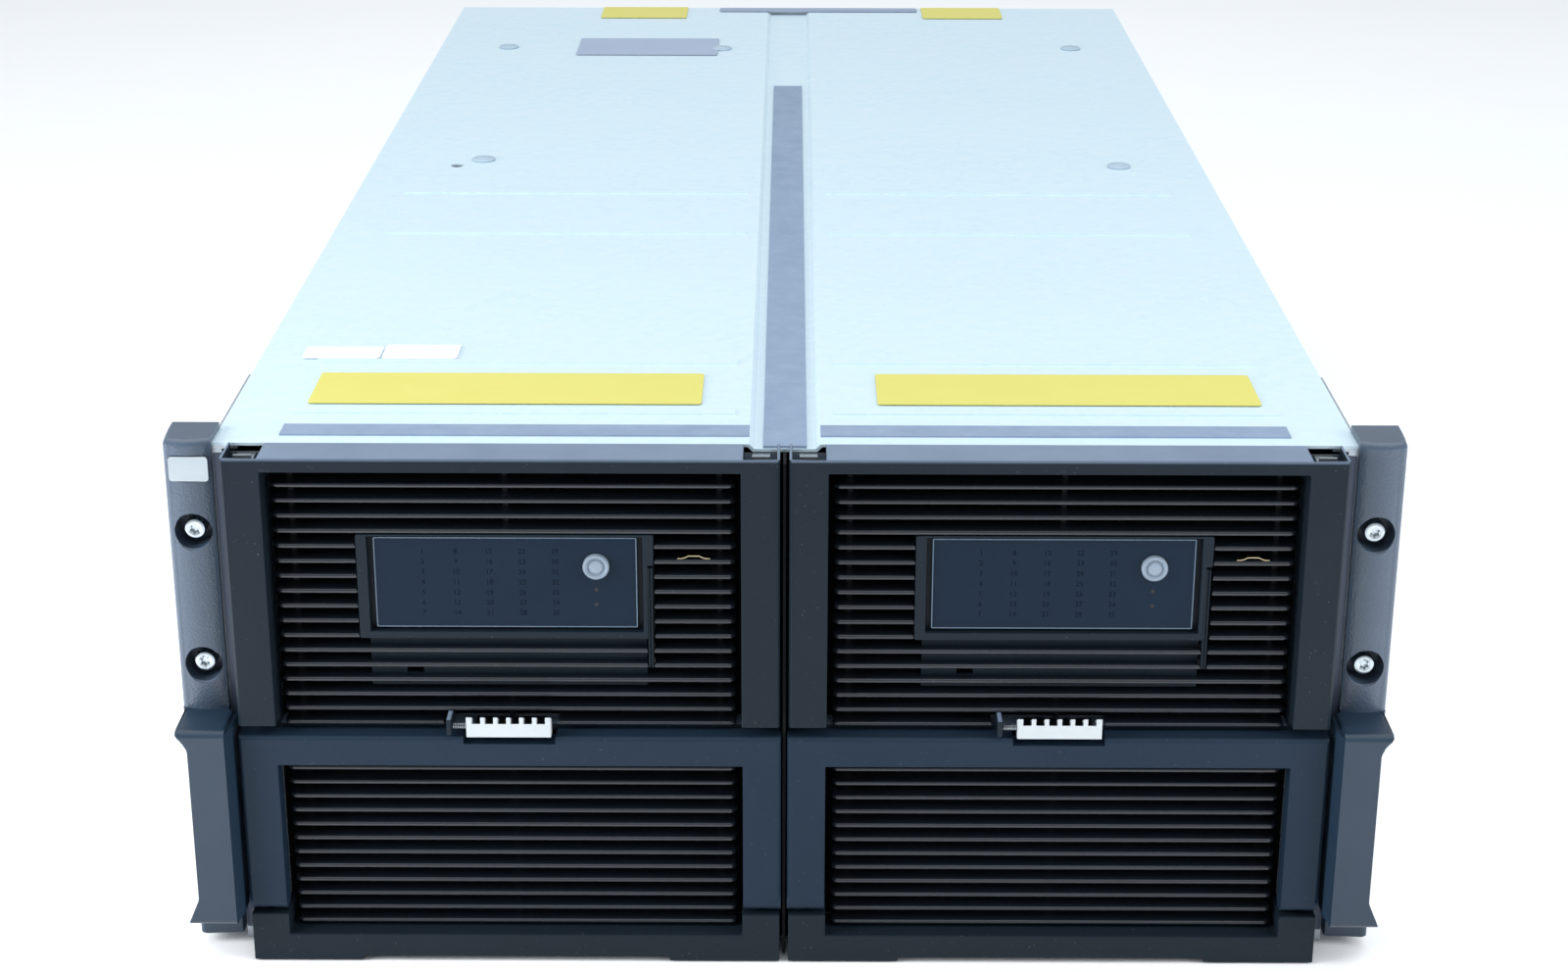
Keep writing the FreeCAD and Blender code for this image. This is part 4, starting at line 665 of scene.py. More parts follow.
def seat(piece: Piece, body: str, slot: str, *nodes: str) -> Piece:
    """Lets a piece ride on a body and stand for CAD nodes.

    Args:
        piece: The piece.
        body: Body that it moves with.
        slot: Not used.
        nodes: CAD nodes that it stands for.

    Returns:
        The same piece.
    """
    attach(piece, body)
    if nodes:
        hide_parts(*nodes)
    log.info("%s rides on %s, %d faces", piece.name, body, len(piece.data.polygons))
    return piece


def dress(finish: Finish, *nodes: str) -> None:
    """Gives CAD nodes a finish.

    Args:
        finish: The surface.
        nodes: Names of the nodes.
    """
    for node in nodes:
        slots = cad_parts[node].data.materials
        slots.clear()
        slots.append(finish.material())
        log.info("%s is dressed in %s", node, finish.name)


class NodeTree:
    """A Geometry Nodes tree with named inputs, from which pieces are grown."""

    title = "pieces"
    sockets: dict[str, str] = {}

    def __init__(self) -> None:
        """Builds the tree: inputs, the nodes of its kind, Realize Instances and Set Material."""
        self.tree = bpy.data.node_groups.new(self.title, "GeometryNodeTree")
        face = self.tree.interface
        named = {"Geometry": "Geometry", **self.sockets, "Material": "Material"}
        self.keys = {name: face.new_socket(name, in_out="INPUT", socket_type=f"NodeSocket{kind}").identifier
                     for name, kind in named.items()}
        face.new_socket("Geometry", in_out="OUTPUT", socket_type="NodeSocketGeometry")
        given = add_node(self.tree, "NodeGroupInput").outputs
        whole = self.add("RealizeInstances", {"Geometry": self.wire(given)})
        dressed = self.add("SetMaterial", {"Geometry": whole, "Material": given["Material"]})
        add_node(self.tree, "NodeGroupOutput", {"Geometry": dressed})

    def add(self, kind: str, inputs: dict[str, Any], **settings: Any) -> Socket:
        """Adds a geometry node and gives its first output."""
        return add_node(self.tree, f"GeometryNode{kind}", inputs, **settings).outputs[0]

    def wire(self, given: Any) -> Socket:
        """Adds the nodes of this kind of tree to the group's inputs, and gives the geometry they make."""
        raise NotImplementedError

    def grow(self, name: str, mesh: bpy.types.Mesh, finish: Finish, **inputs: Any) -> Piece:
        """Grows a piece and turns it into a plain mesh.

        Args:
            name: Name of the piece.
            mesh: Mesh that the tree starts from.
            finish: Surface of the piece.
            inputs: Values of the tree's inputs, with underscores for spaces.

        Returns:
            The piece.
        """
        piece = add_object(name, mesh)
        modifier = piece.modifiers.new(self.title, "NODES")
        modifier.node_group = self.tree
        modifier[self.keys["Material"]] = finish.material()
        for key, given in inputs.items():
            modifier[self.keys[key.replace("_", " ")]] = given
        return even(piece)


class PartRows(NodeTree):
    """Repeats a part in columns and rows, starting from where it is."""

    title = "part_rows"
    sockets = {"Columns": "Int", "Column Step": "Vector", "Rows": "Int", "Row Step": "Vector"}

    def wire(self, given: Any) -> Socket:
        """Sets a line of lines of points, and the part on each of them.

        Args:
            given: Outputs of the group's input node.

        Returns:
            The parts as instances.
        """
        across, down = (self.add("MeshLine", {"Count": given[f"{way}s"], "Offset": given[f"{way} Step"]},
                                 mode="OFFSET") for way in ("Column", "Row"))
        lines = self.add("InstanceOnPoints", {"Points": across, "Instance": down})
        points = self.add("RealizeInstances", {"Geometry": lines})
        return self.add("InstanceOnPoints", {"Points": points, "Instance": given["Geometry"]})

    def repeat(self, name: str, shape: Solid, finish: Finish, columns: int = 1, rows: int = 1,
               across: Triple = (0.0, 0.0, 0.0), down: Triple = (0.0, 0.0, 0.0)) -> Piece:
        """Repeats a shape.

        Args:
            name: Name of the piece.
            shape: The shape at its first place, which is used up.
            finish: Surface of the piece.
            columns: Number of columns.
            rows: Number of rows.
            across: Step from column to column.
            down: Step from row to row.

        Returns:
            The piece.
        """
        return self.grow(name, to_mesh(name, shape, finish), finish, Columns=columns, Rows=rows,
                         Column_Step=tuple(a * MM for a in across), Row_Step=tuple(d * MM for d in down))


class PartsAtPlaces(NodeTree):
    """Sets a part at each point of a mesh, each turned by chance."""

    title = "parts_at_places"
    sockets = {"Part": "Object", "Axis": "Vector", "Turn": "Float", "Seed": "Int"}

    def wire(self, given: Any) -> Socket:
        """Sets the part on the points, turned by chance about an axis.

        Args:
            given: Outputs of the group's input node.

        Returns:
            The parts as instances.
        """
        part = add_node(self.tree, "GeometryNodeObjectInfo", {"Object": given["Part"]})
        chance = add_node(self.tree, "FunctionNodeRandomValue", {
            2: 0.0, 3: given["Turn"], "Seed": given["Seed"]}, data_type="FLOAT")
        turn = add_node(self.tree, "FunctionNodeAxisAngleToRotation", {
            "Axis": given["Axis"], "Angle": chance.outputs[1]})
        return self.add("InstanceOnPoints", {"Points": given["Geometry"], "Rotation": turn.outputs[0],
                                             "Instance": part.outputs["Geometry"]})

    def scatter(self, name: str, shape: Solid, finish: Finish, spots: Sequence[Vector], axis: Triple,
                seed: int) -> Piece:
        """Sets a shape at each of several places.

        Args:
            name: Name of the piece.
            shape: The shape about the origin, which is used up.
            finish: Surface of the piece.
            spots: Where the shape goes.
            axis: Axis about which each is turned by chance.
            seed: Seed of the turns.

        Returns:
            The piece.
        """
        part = add_object(f"{name}_part", to_mesh(name, shape, finish))
        points = bpy.data.meshes.new(f"{name}_spots")
        points.from_pydata([tuple(s * MM) for s in spots], [], [])
        piece = self.grow(name, points, finish, Part=part, Axis=axis, Turn=math.tau, Seed=seed)
        bpy.data.objects.remove(part)
        return piece


class WireCoil(NodeTree):
    """Winds a wire into a coil along X."""

    title = "wire_coil"
    sockets = {"Turns": "Float", "Coil Radius": "Float", "Length": "Float", "Wire Radius": "Float",
               "Start": "Vector"}

    def wire(self, given: Any) -> Socket:
        """Sweeps a round wire along a spiral that lies along X.

        Args:
            given: Outputs of the group's input node.

        Returns:
            The coil.
        """
        path = self.add("CurveSpiral", {
            "Resolution": 20, "Rotations": given["Turns"], "Start Radius": given["Coil Radius"],
            "End Radius": given["Coil Radius"], "Height": given["Length"]})
        section = self.add("CurvePrimitiveCircle", {"Resolution": 8, "Radius": given["Wire Radius"]})
        tube = self.add("CurveToMesh", {"Curve": path, "Profile Curve": section, "Fill Caps": True})
        return self.add("Transform", {"Geometry": tube, "Rotation": (0.0, math.pi / 2, 0.0),
                                      "Translation": given["Start"]})


@dataclass
class Kit:
    """The Geometry Nodes trees that the sub-assemblies share."""

    rows: PartRows = field(default_factory=PartRows)
    places: PartsAtPlaces = field(default_factory=PartsAtPlaces)
    coil: WireCoil = field(default_factory=WireCoil)


@dataclass
class Chassis:
    """The fixed box: sheets, ears, grips, rack screws, and what is stuck on the cover.

    Depths along Y are measured from the front face of the ears. A profile gives radius, height and lobe.
    """

    kit: Kit
    ear_crown: float = 2.3
    ear_edge: float = 2.6
    ear_steps: tuple[int, int] = (12, 6)
    # Radius and depth of a screw's well; how much wider its mouth is, and where its slope starts and ends.
    well: Flat = (7.4, 13.0)
    well_mouth: Triple = (0.5, 0.4, 0.9)
    screw_hole: float = 3.3
    overcut: float = 1.0
    grip_round: float = 1.4
    # Reach of a cheek, where its slope starts and ends, and its back, behind the front of the grip.
    cheek: Quad = (2.0, 1.0, 8.0, 21.0)
    cheek_ends: Flat = (22.2, 106.0)
    cheek_root: float = 0.6
    cheek_round: float = 0.8
    # Distances of the edging from the panel's outer face and from its lower and upper edge.
    edging: Quad = (0.2, 4.0, 4.0, 3.0)
    edging_depth: Flat = (0.45, 0.02)
    edging_round: float = 0.3
    panel_screw: Profile = ((0.0, 0.45), (1.0, 0.45, 0.2), (1.3, 0.95), (2.4, 0.85), (3.2, 0.3), (3.2, -0.2),
                            (0.0, -0.2))
    # First screw behind the panel's front, distance from its upper and lower edge, and step.
    panel_screw_row: Triple = (60.0, 11.0, 128.0)
    panel_screw_count: int = 7
    # Radius and height of a rack screw's head, the head's top, and the radii and lengths further down.
    screw_head: Flat = (4.2, 9.6)
    screw_top: Profile = ((0.0, 1.7), (1.6, 1.7, 0.3), (1.7, 0.3, 0.35), (2.6, 0.05), (3.3, 0.0), (3.9, 0.25))
    screw_ease: float = 0.9
    screw_neck: float = 2.6
    screw_thread: Flat = (3.0, 14.5)
    screw_point: Flat = (2.3, 1.0)
    screw_seed: int = 7
    # Height of the badge's middle, and its width and height.
    badge: Triple = (210.55, 15.5, 10.3)
    badge_corner: float = 1.4
    badge_play: float = 0.35
    badge_depth: Triple = (0.05, 0.9, 0.95)
    badge_bevel: float = 0.15
    # A plug's profile, with its radii as shares of the plug's radius.
    plug_radius: float = 6.3
    plug: Profile = ((0.0, 1.2), (0.45, 1.2), (0.5, 0.9), (0.72, 0.9), (0.9, 0.75), (1.0, 0.3), (1.0, -0.4),
                     (0.0, -0.4))
    plug_seed: int = 4
    plugs: tuple[Flat, ...] = ((-180, 760), (-165, 461), (179, 449.5), (182, 760), (-42.5, 757))
    film: Flat = (0.1, 0.2)
    film_corner: float = 1.5
    yellow: tuple[Quad, ...] = ((-194, -34, 52, 91), (37.5, 193.5, 52, 91), (-127, -69, 857, 894),
                                (91, 145, 857, 894))
    white: tuple[Quad, ...] = ((-206, -173, 111, 126), (-172, -140, 111, 129))
    grey: tuple[Quad, ...] = ((-135, -45, 736, 787),)
    slate: tuple[Quad, ...] = ((-47, 88, 880, 892),)

    def build(self) -> None:
        """Builds the whole chassis."""
        dress(GALVANISED, "top_cover")
        # The divider's black is painted shade for the dark gap between the drawers; the outer rails are
        # coated black.
        dress(BLACK_STEEL_AND_SHADE, "centre_divider", "slide_outer_rails")
        dress(ZINC, "base_pan", "module_cage", "left_side_panel", "right_side_panel",
              "left_rack_flange", "right_rack_flange")
        dress(SEAL_FOAM, "seal_strips")
        dress(BOARD_FR4, "midplane_board")
        for side in Side:
            self.build_ear(side)
            self.build_cheek(side)
            self.build_edging(side)
            self.build_side_screws(side)
        self.build_screws()
        self.build_badge()
        self.build_plugs()
        self.build_films()

    def screw_spots(self) -> list[Flat]:
        """Gives X and Z of the four rack screws."""
        (low, high), r = place("rack_screws"), self.screw_head[0]
        return [(x, z) for x in (low.x + r, high.x - r) for z in (low.z + r, high.z - r)]

    def ear_plan(self, side: Side) -> list[Flat]:
        """Gives the outline of an ear from above, crowned in front and round at its outer corner.

        Args:
            side: Side of the ear.

        Returns:
            The corners in order.
        """
        low, high = place(f"{side.value}_ear_cover")
        inner, outer = (high.x, low.x) if side is Side.LEFT else (low.x, high.x)
        width, edge = outer - inner, math.copysign(self.ear_edge, outer - inner)
        crown_steps, edge_steps = self.ear_steps
        outline = [(inner, high.y)]
        for k in range(crown_steps + 1):
            along = (width - edge) * k / crown_steps
            outline.append((inner + along, low.y + self.ear_crown * (2 * along / width - 1) ** 2))
        start = outline[-1][1]
        for k in range(1, edge_steps + 1):
            angle = math.radians(90 / edge_steps * k)
            outline.append((outer - edge + edge * math.sin(angle),
                            start + self.ear_edge * (1 - math.cos(angle))))
        return outline + [(outer, high.y)]

    def build_ear(self, side: Side) -> None:
        """Moulds the crowned ear cover with its wells, and rounds the grip of one side.

        Args:
            side: Side of the ear.
        """
        cover, grip = f"{side.value}_ear_cover", f"{side.value}_ear_grip"
        low, high = place(cover)
        shell = prism(self.ear_plan(side), low.z, high.z, Plane.LEVEL)
        soften(shell, self.ear_edge, 4, lambda e: all(
            v.co.z > high.z - NEAR and v.co.y < high.y - NEAR for v in e.verts))
        (radius, depth), (wider, mouth, slope), hole = self.well, self.well_mouth, self.screw_hole
        front, back = low.y - self.overcut, high.y + self.overcut
        profile = [(0.0, front), (radius + wider, front), (radius + wider, low.y + mouth),
                   (radius, low.y + slope), (radius, low.y + depth), (hole, low.y + depth), (hole, back),
                   (0.0, back)]
        cutters = [lathe(profile, x, z, Plane.FRONT, 40) for x, z in self.screw_spots()
                   if low.x < x < high.x]
        if side is Side.LEFT:
            recess = self.badge_outline(self.badge_play)
            cutters.append(prism(recess, front, low.y + self.badge_depth[1], Plane.FRONT))
        seat(carved(f"{side.value}_ear_shell", shell, cutters, EAR_ABS), "chassis", "ear_plastic", cover)
        shape = moulded(grip, self.grip_round, 3)
        pull = add_piece(f"{side.value}_ear_pull", shape, GRIP_NYLON, SHARP_MOULDED)
        seat(pull, "chassis", "ear_plastic", grip)

    def build_cheek(self, side: Side) -> None:
        """Slopes the inner wall of a grip towards the drawer.

        Args:
            side: Side of the grip.
        """
        low, high = place(f"{side.value}_ear_grip")
        inner, inward = (high.x, 1.0) if side is Side.LEFT else (low.x, -1.0)
        reach, start, end, back = self.cheek
        root, tip = inner - self.cheek_root * inward, inner + reach * inward
        outline = [(root, low.y + start - self.cheek_root), (inner, low.y + start), (tip, low.y + end),
                   (tip, low.y + back), (root, low.y + back)]
        shape = prism(outline, *self.cheek_ends, Plane.LEVEL)
        soften(shape, self.cheek_round, 2, lambda e: all(abs(v.co.x - inner) > reach - NEAR for v in e.verts))
        piece = add_piece(f"{side.value}_grip_cheek", shape, GRIP_NYLON, SHARP_MOULDED)
        seat(piece, "chassis", "ear_plastic")

    def build_edging(self, side: Side) -> None:
        """Clips a grey edging on the front edge of a side panel.

        Args:
            side: Side of the panel.
        """
        low, high = place(f"{side.value}_side_panel")
        near, far, foot, head = self.edging
        proud, sunk = self.edging_depth
        left, right = (low.x + near, low.x + far) if side is Side.LEFT else (high.x - far, high.x - near)
        shape = prism(rectangle(left, right, low.z + foot, high.z - head), low.y - proud, low.y + sunk,
                      Plane.FRONT)
        soften(shape, self.edging_round, 2, is_corner(0.4))
        seat(add_piece(f"{side.value}_edging", shape, EDGE_PVC), "chassis", "ear_plastic")

    def build_side_screws(self, side: Side) -> None:
        """Sets two rows of low pan-head screws in a side panel.

        Args:
            side: Side of the panel.
        """
        low, high = place(f"{side.value}_side_panel")
        face, out = (low.x, -1) if side is Side.LEFT else (high.x, 1)
        first, margin, step = self.panel_screw_row
        top, bottom = high.z - margin, low.z + margin
        shape = lathe(shifted(self.panel_screw, face, out), low.y + first, top, Plane.FLANK, 18)
        piece = self.kit.rows.repeat(f"{side.value}_panel_screws", shape, SCREW_STEEL,
                                     columns=self.panel_screw_count, rows=2, across=(0.0, step, 0.0),
                                     down=(0.0, 0.0, bottom - top))
        seat(piece, "chassis", "screw_steel")

    def build_screws(self) -> None:
        """Turns the four captive rack screws, each with a domed head and a six-lobed recess."""
        low, high = place("rack_screws")
        (radius, height), neck, (thread, length) = self.screw_head, self.screw_neck, self.screw_thread
        front, under, tip, (end, cone) = low.y, low.y + height, high.y, self.screw_point
        profile = shifted(self.screw_top, front) + [
            (radius, front + self.screw_ease), (radius, under), (neck, under), (neck, tip - length),
            (thread, tip - length), (thread, tip - cone), (end, tip), (0.0, tip)]
        shape = lathe(profile, 0.0, 0.0, Plane.FRONT, 36)
        spots = [Vector((x, 0.0, z)) for x, z in self.screw_spots()]
        piece = self.kit.places.scatter("star_screws", shape, SCREW_STEEL, spots, (0.0, 1.0, 0.0),
                                        self.screw_seed)
        seat(piece, "chassis", "screw_steel", "rack_screws")

    def badge_outline(self, margin: float) -> list[Flat]:
        """Gives the outline of the badge on the left ear, grown by a margin."""
        box = centred(self.screw_spots()[0][0], *self.badge)
        return inset(box, -margin, self.badge_corner + margin)

    def build_badge(self) -> None:
        """Sets a blank plate into the recess of the left ear."""
        front, (proud, _, sunk) = place("left_ear_cover")[0].y, self.badge_depth
        plate = prism(self.badge_outline(0.0), front - proud, front + sunk, Plane.FRONT)
        soften(plate, self.badge_bevel, 2, is_corner(0.2))
        seat(add_piece("badge_plate", plate, PLATE_ALUMINIUM), "chassis", "ear_plastic")

    def build_plugs(self) -> None:
        """Sets low round plugs in the holes of the cover."""
        profile = [(share * self.plug_radius, height) for share, height in self.plug]
        top = place("top_cover")[1].z
        spots = [Vector((x, behind_ears(y), top)) for x, y in self.plugs]
        piece = self.kit.places.scatter("cover_plugs", lathe(profile, 0.0, 0.0, Plane.LEVEL, 28), PLUG_NYLON,
                                        spots, (0.0, 0.0, 1.0), self.plug_seed)
        seat(piece, "chassis", "seal_rubber")

    def build_films(self) -> None:
        """Lays the blank films and the slate strip on the cover."""
        top, (sunk, proud) = place("top_cover")[1].z, self.film
        for name, spots, finish in (("yellow_films", self.yellow, YELLOW_FILM),
                                    ("white_films", self.white, WHITE_FILM),
                                    ("grey_film", self.grey, GREY_FILM),
                                    ("slate_film", self.slate, SLATE_STRIP)):
            sheets = [prism(rectangle(x0, x1, behind_ears(y0), behind_ears(y1), self.film_corner), top - sunk,
                            top + proud, Plane.LEVEL) for x0, x1, y0, y1 in spots]
            seat(add_piece(name, joined(sheets), finish), "chassis", "seal_rubber")


@dataclass
class SideAssembly:
    """What the sub-assemblies of one side share. Their methods take names without the side."""

    kit: Kit
    side: Side

    def named(self, name: str) -> str:
        """Gives the full name of one of this side's nodes, bodies, joints or pieces."""
        return f"{self.side.value}_{name}"

    def settle(self, name: str, shape: Solid, finish: Finish, body: str, slot: str, *nodes: str,
               sharp: float = SHARP) -> None:
        """Makes a piece of a shape, which is used up, and seats it as seat does."""
        piece = add_piece(self.named(name), shape, finish, sharp)
        seat(piece, self.named(body), slot, *map(self.named, nodes))

    def settle_rows(self, name: str, shape: Solid, finish: Finish, body: str, slot: str, *nodes: str,
                    **rows: Any) -> None:
        """Repeats a shape as the tree of rows does, and seats the piece as seat does."""
        piece = self.kit.rows.repeat(self.named(name), shape, finish, **rows)
        seat(piece, self.named(body), slot, *map(self.named, nodes))


@dataclass
class DrawerFront(SideAssembly):
    """The front of one drawer: bezel, louvres, display, button, latch, spring, handle and lip.

    Places along X are measured from the drawer's middle.
    """

    frame_round: float = 0.5
    display_round: float = 0.3
    handle_round: float = 0.6
    pitch: float = 6.35
    bar_height: float = 2.0
    bar_depth: float = 10.0
    bar_end: float = 2.6
    nose: float = 0.9
    rows_above: int = 4
    rows_beside: int = 7
    rows_guided: int = 2
    rows_below: int = 3
    lower_rows: int = 12
    display_gap: float = 0.3
    guide_slot: Flat = (55.5, 58.1)
    guide_depth: float = 6.0
    skirt: Quad = (-55.0, 55.0, 120.0, 141.6)
    skirt_hole: Quad = (-40.9, -34.3, 125.3, 128.7)
    skirt_depth: Flat = (4.5, 6.0)
    gap: Flat = (-26.6, 18.85)
    rib_half: float = 1.0
    rib_inset: float = 6.4
    rib_depth: Flat = (0.5, 2.0)
    # Rounding of the pane, margins and corner radii of the painted highlight round its edge, and that
    # highlight's depths.
    pane_round: float = 0.35
    pane_edge: tuple[Flat, Flat] = ((0.1, 0.4), (0.5, 0.3))
    pane_highlight_depth: Flat = (-0.05, 0.3)
    lamp: Profile = ((0.0, -0.05), (0.8, -0.05), (0.9, 0.1), (0.0, 0.1))
    lamp_spots: tuple[Flat, ...] = ((35.5, 162.3), (35.5, 156.0))
    # Size and thickness of the numerals, the first one's place, and the steps between them.
    numeral: Flat = (3.0, 0.02)
    numeral_spot: Flat = (-32.5, 177.45)
    numeral_step: Flat = (13.0, 4.35)
    numeral_count: int = 35
    numeral_rows: int = 7
    # The button's profile, with its radii as shares of the button's radius, and its stem.
    button: Profile = ((0.0, 0.35), (0.4, 0.4), (0.52, 0.65), (0.58, 1.1), (0.66, 1.1), (0.72, 0.5),
                       (0.8, 0.05), (0.88, 0.0), (0.96, 0.3), (1.0, 0.8), (1.0, 3.2))
    button_stem: float = 3.0
    latch_round: float = 0.25
    latch_plate: float = 5.0
    tooth: float = 0.6
    tooth_slope: float = 0.6
    # Turns, radius and wire radius of the spring, its play at each end, and the length it keeps.
    spring: tuple[float, ...] = (7.5, 1.25, 0.17, 0.25, 0.46)
    # Place and length of the clip; its foot, rise and thickness; its depths; and the row it rests on.
    clip: Flat = (67.6, 12.8)
    clip_rise: Triple = (0.4, 1.1, 0.35)
    clip_flatness: float = 1.9
    clip_depth: Flat = (1.0, 3.4)
    clip_row: int = 5
    clip_steps: int = 24
    # Half widths of the two sheets of painted shade, their distances from the edges of the bezel and the lip,
    # and how far ahead of the grilles' back they start and end.
    shade_sheet_half: Flat = (92.6, 94.4)
    shade_sheet_margins: Quad = (4.0, 5.9, 12.5, 0.5)
    shade_sheet_depth: Flat = (0.6, 0.05)

    def __post_init__(self) -> None:
        """Finds the middle of the drawer, the upper grille and the height of its first bar."""
        low, high = place(self.named("upper_bezel"))
        self.middle = (low.x + high.x) / 2
        self.grille = place(self.named("upper_louvres"))
        rows = self.rows_above + self.rows_beside + self.rows_guided + self.rows_below
        self.first = self.grille[0].z + self.bar_height / 2 + self.pitch * rows

    def build(self) -> None:
        """Builds the whole front."""
        self.build_frames()
        self.build_upper_louvres()
        self.build_lower_louvres()
        self.build_display()
        self.build_button()
        self.build_latch()
        self.build_spring()
        self.build_handle()
        self.build_clip()
        self.build_shade_sheet()

    def build_frames(self) -> None:
        """Rounds the bezel, the lip and the display frame."""
        for node, name, width, finish in (("upper_bezel", "bezel_frame", self.frame_round, BEZEL_ABS),
                                          ("drawer_lip", "lip_frame", self.frame_round, LIP_ABS),
                                          ("display_frame", "display_surround", self.display_round, LIP_ABS)):
            self.settle(name, moulded(self.named(node), width), finish, "drawer", "bezel_plastic", node,
                        sharp=SHARP_MOULDED)

    def bar(self, left: float, right: float, nose: float, middle: float,
            rounded: tuple[bool, bool] = (True, True)) -> Solid:
        """Makes one louvre bar with a round nose and ends that curve back.

        Args:
            left: Where it starts along X.
            right: Where it ends along X.
            nose: Y of its front.
            middle: Z of its middle.
            rounded: Whether the left and the right end curve back.

        Returns:
            The bar.
        """
        back, end, half = nose + self.bar_depth, self.bar_end, self.bar_height / 2
        turns = [math.radians(15 * k) for k in range(7)]
        start = [(left + end - end * math.cos(a), nose + end - end * math.sin(a)) for a in turns]
        finish = [(right - end + end * math.sin(a), nose + end - end * math.cos(a)) for a in turns]
        outline = [(left, back), *(start if rounded[0] else [(left, nose)]),
                   *(finish if rounded[1] else [(right, nose)]), (right, back)]
        shape = prism(outline, middle - half, middle + half, Plane.LEVEL)
        return soften(shape, self.nose, 3, lambda e: abs(e.verts[0].co.z - e.verts[1].co.z) < NEAR
                      and min(v.co.y for v in e.verts) < back - NEAR)

    def row(self, height: float, gap: Flat | None) -> Solid:
        """Makes one row of the upper grille.

        Args:
            height: Z of its middle.
            gap: Where the bar is broken along X, if it is.

        Returns:
            The bar, or the two bars beside the gap.
        """
        low, high = self.grille
        if gap is None:
            return self.bar(low.x, high.x, low.y, height)
        left, right = self.middle + gap[0], self.middle + gap[1]
        return joined([self.bar(low.x, left, low.y, height, (True, False)),
                       self.bar(right, high.x, low.y, height, (False, True))])

    def build_upper_louvres(self) -> None:
        """Makes the bars round the display, and the ribs and the blind plate behind them."""
        (low, high), height, half = self.grille, self.first, self.bar_height / 2
        frame_low, frame_high = place(self.named("display_frame"))
        inner = (frame_high.x - frame_low.x) / 2 + self.display_gap
        for name, rows, gap in (("above", self.rows_above, None),
                                ("beside", self.rows_beside, (-inner, inner)),
                                ("guided", self.rows_guided, self.guide_slot),
                                ("below", self.rows_below, None), ("last", 1, self.gap)):
            shape = self.row(height, gap)
            if name == "guided":
                slot = rectangle(self.middle + gap[0], self.middle + gap[1], height - half, height + half)
                floor = prism(slot, low.y + self.guide_depth, low.y + self.bar_depth, Plane.FRONT)
                shape = joined([shape, floor])
            nodes = ("upper_louvres",) if name == "above" else ()
            self.settle_rows(f"louvres_{name}", shape, LOUVRE_ABS, "drawer", "louvre_plastic", *nodes,
                             rows=rows, down=(0.0, 0.0, -self.pitch))
            height -= self.pitch * rows
        self.settle("upper_ribs", self.ribs(low, high), LOUVRE_ABS, "drawer", "louvre_plastic")
        self.settle("blind_plate", self.blind_plate(), LIP_ABS, "drawer", "bezel_plastic")

    def ribs(self, low: Vector, high: Vector) -> Solid:
        """Makes the three upright ribs behind a grille.

        Args:
            low: Lowest corner of the grille.
            high: Highest corner of the grille.

        Returns:
            The ribs.
        """
        back, (ahead, behind) = low.y + self.bar_depth, self.rib_depth
        return joined(prism(rectangle(x - self.rib_half, x + self.rib_half, low.z, high.z), back - ahead,
                            back + behind, Plane.FRONT)
                      for x in (low.x + self.rib_inset, self.middle, high.x - self.rib_inset))

    def blind_plate(self) -> Solid:
        """Makes the blind plate below the display, with its small window.

        Returns:
            The plate.
        """
        left, right, x0, x1 = (self.middle + x for x in self.skirt[:2] + self.skirt_hole[:2])
        low, high, sill, head = self.skirt[2:] + self.skirt_hole[2:]
        front, back = (self.grille[0].y + depth for depth in self.skirt_depth)
        strips = ((left, x0, low, high), (x1, right, low, high), (x0, x1, low, sill), (x0, x1, head, high))
        return joined(prism(rectangle(*strip), front, back, Plane.FRONT) for strip in strips)

    def build_lower_louvres(self) -> None:
        """Makes the twelve bars inside the handle and the ribs behind them."""
        low, high = place(self.named("lower_louvres"))
        first = low.z + self.bar_height / 2 + self.pitch * (self.lower_rows - 1)
        shape = self.bar(low.x, high.x, low.y, min(first, high.z - self.bar_height / 2))
        self.settle_rows("louvres_lower", shape, LOUVRE_ABS, "drawer", "louvre_plastic", "lower_louvres",
                         rows=self.lower_rows, down=(0.0, 0.0, -self.pitch))
        self.settle("lower_ribs", self.ribs(low, high), LOUVRE_ABS, "drawer", "louvre_plastic")

    def build_display(self) -> None:
        """Polishes the window, paints a highlight round its edge, and prints the drive numerals and two dark
        lamps on it.
        """
        pane = self.named("display_window")
        low, high = place(pane)
        box = (low.x, high.x, low.z, high.z)
        # The light ring round the window's edge is a painted highlight.
        edges = [inset(box, margin, radius, 2) for margin, radius in self.pane_edge]
        edge = surround(*edges, *(low.y + depth for depth in self.pane_highlight_depth), Plane.FRONT)
        lamps = joined(lathe(shifted(self.lamp, low.y), self.middle + x, z, Plane.FRONT, 16)
                       for x, z in self.lamp_spots)
        self.settle("display_pane", moulded(pane, self.pane_round, 2, 1.0), WINDOW_PC, "drawer",
                    "window_plastic", "display_window")
        for name, shape, finish in (("pane_edge", edge, PANE_HIGHLIGHT_PC),
                                    ("drive_numerals", self.numerals(low.y), NUMERAL_INK),
                                    ("display_lamps", lamps, BLACK_PBT_AND_SHADE)):
            self.settle(name, shape, finish, "drawer", "window_plastic")

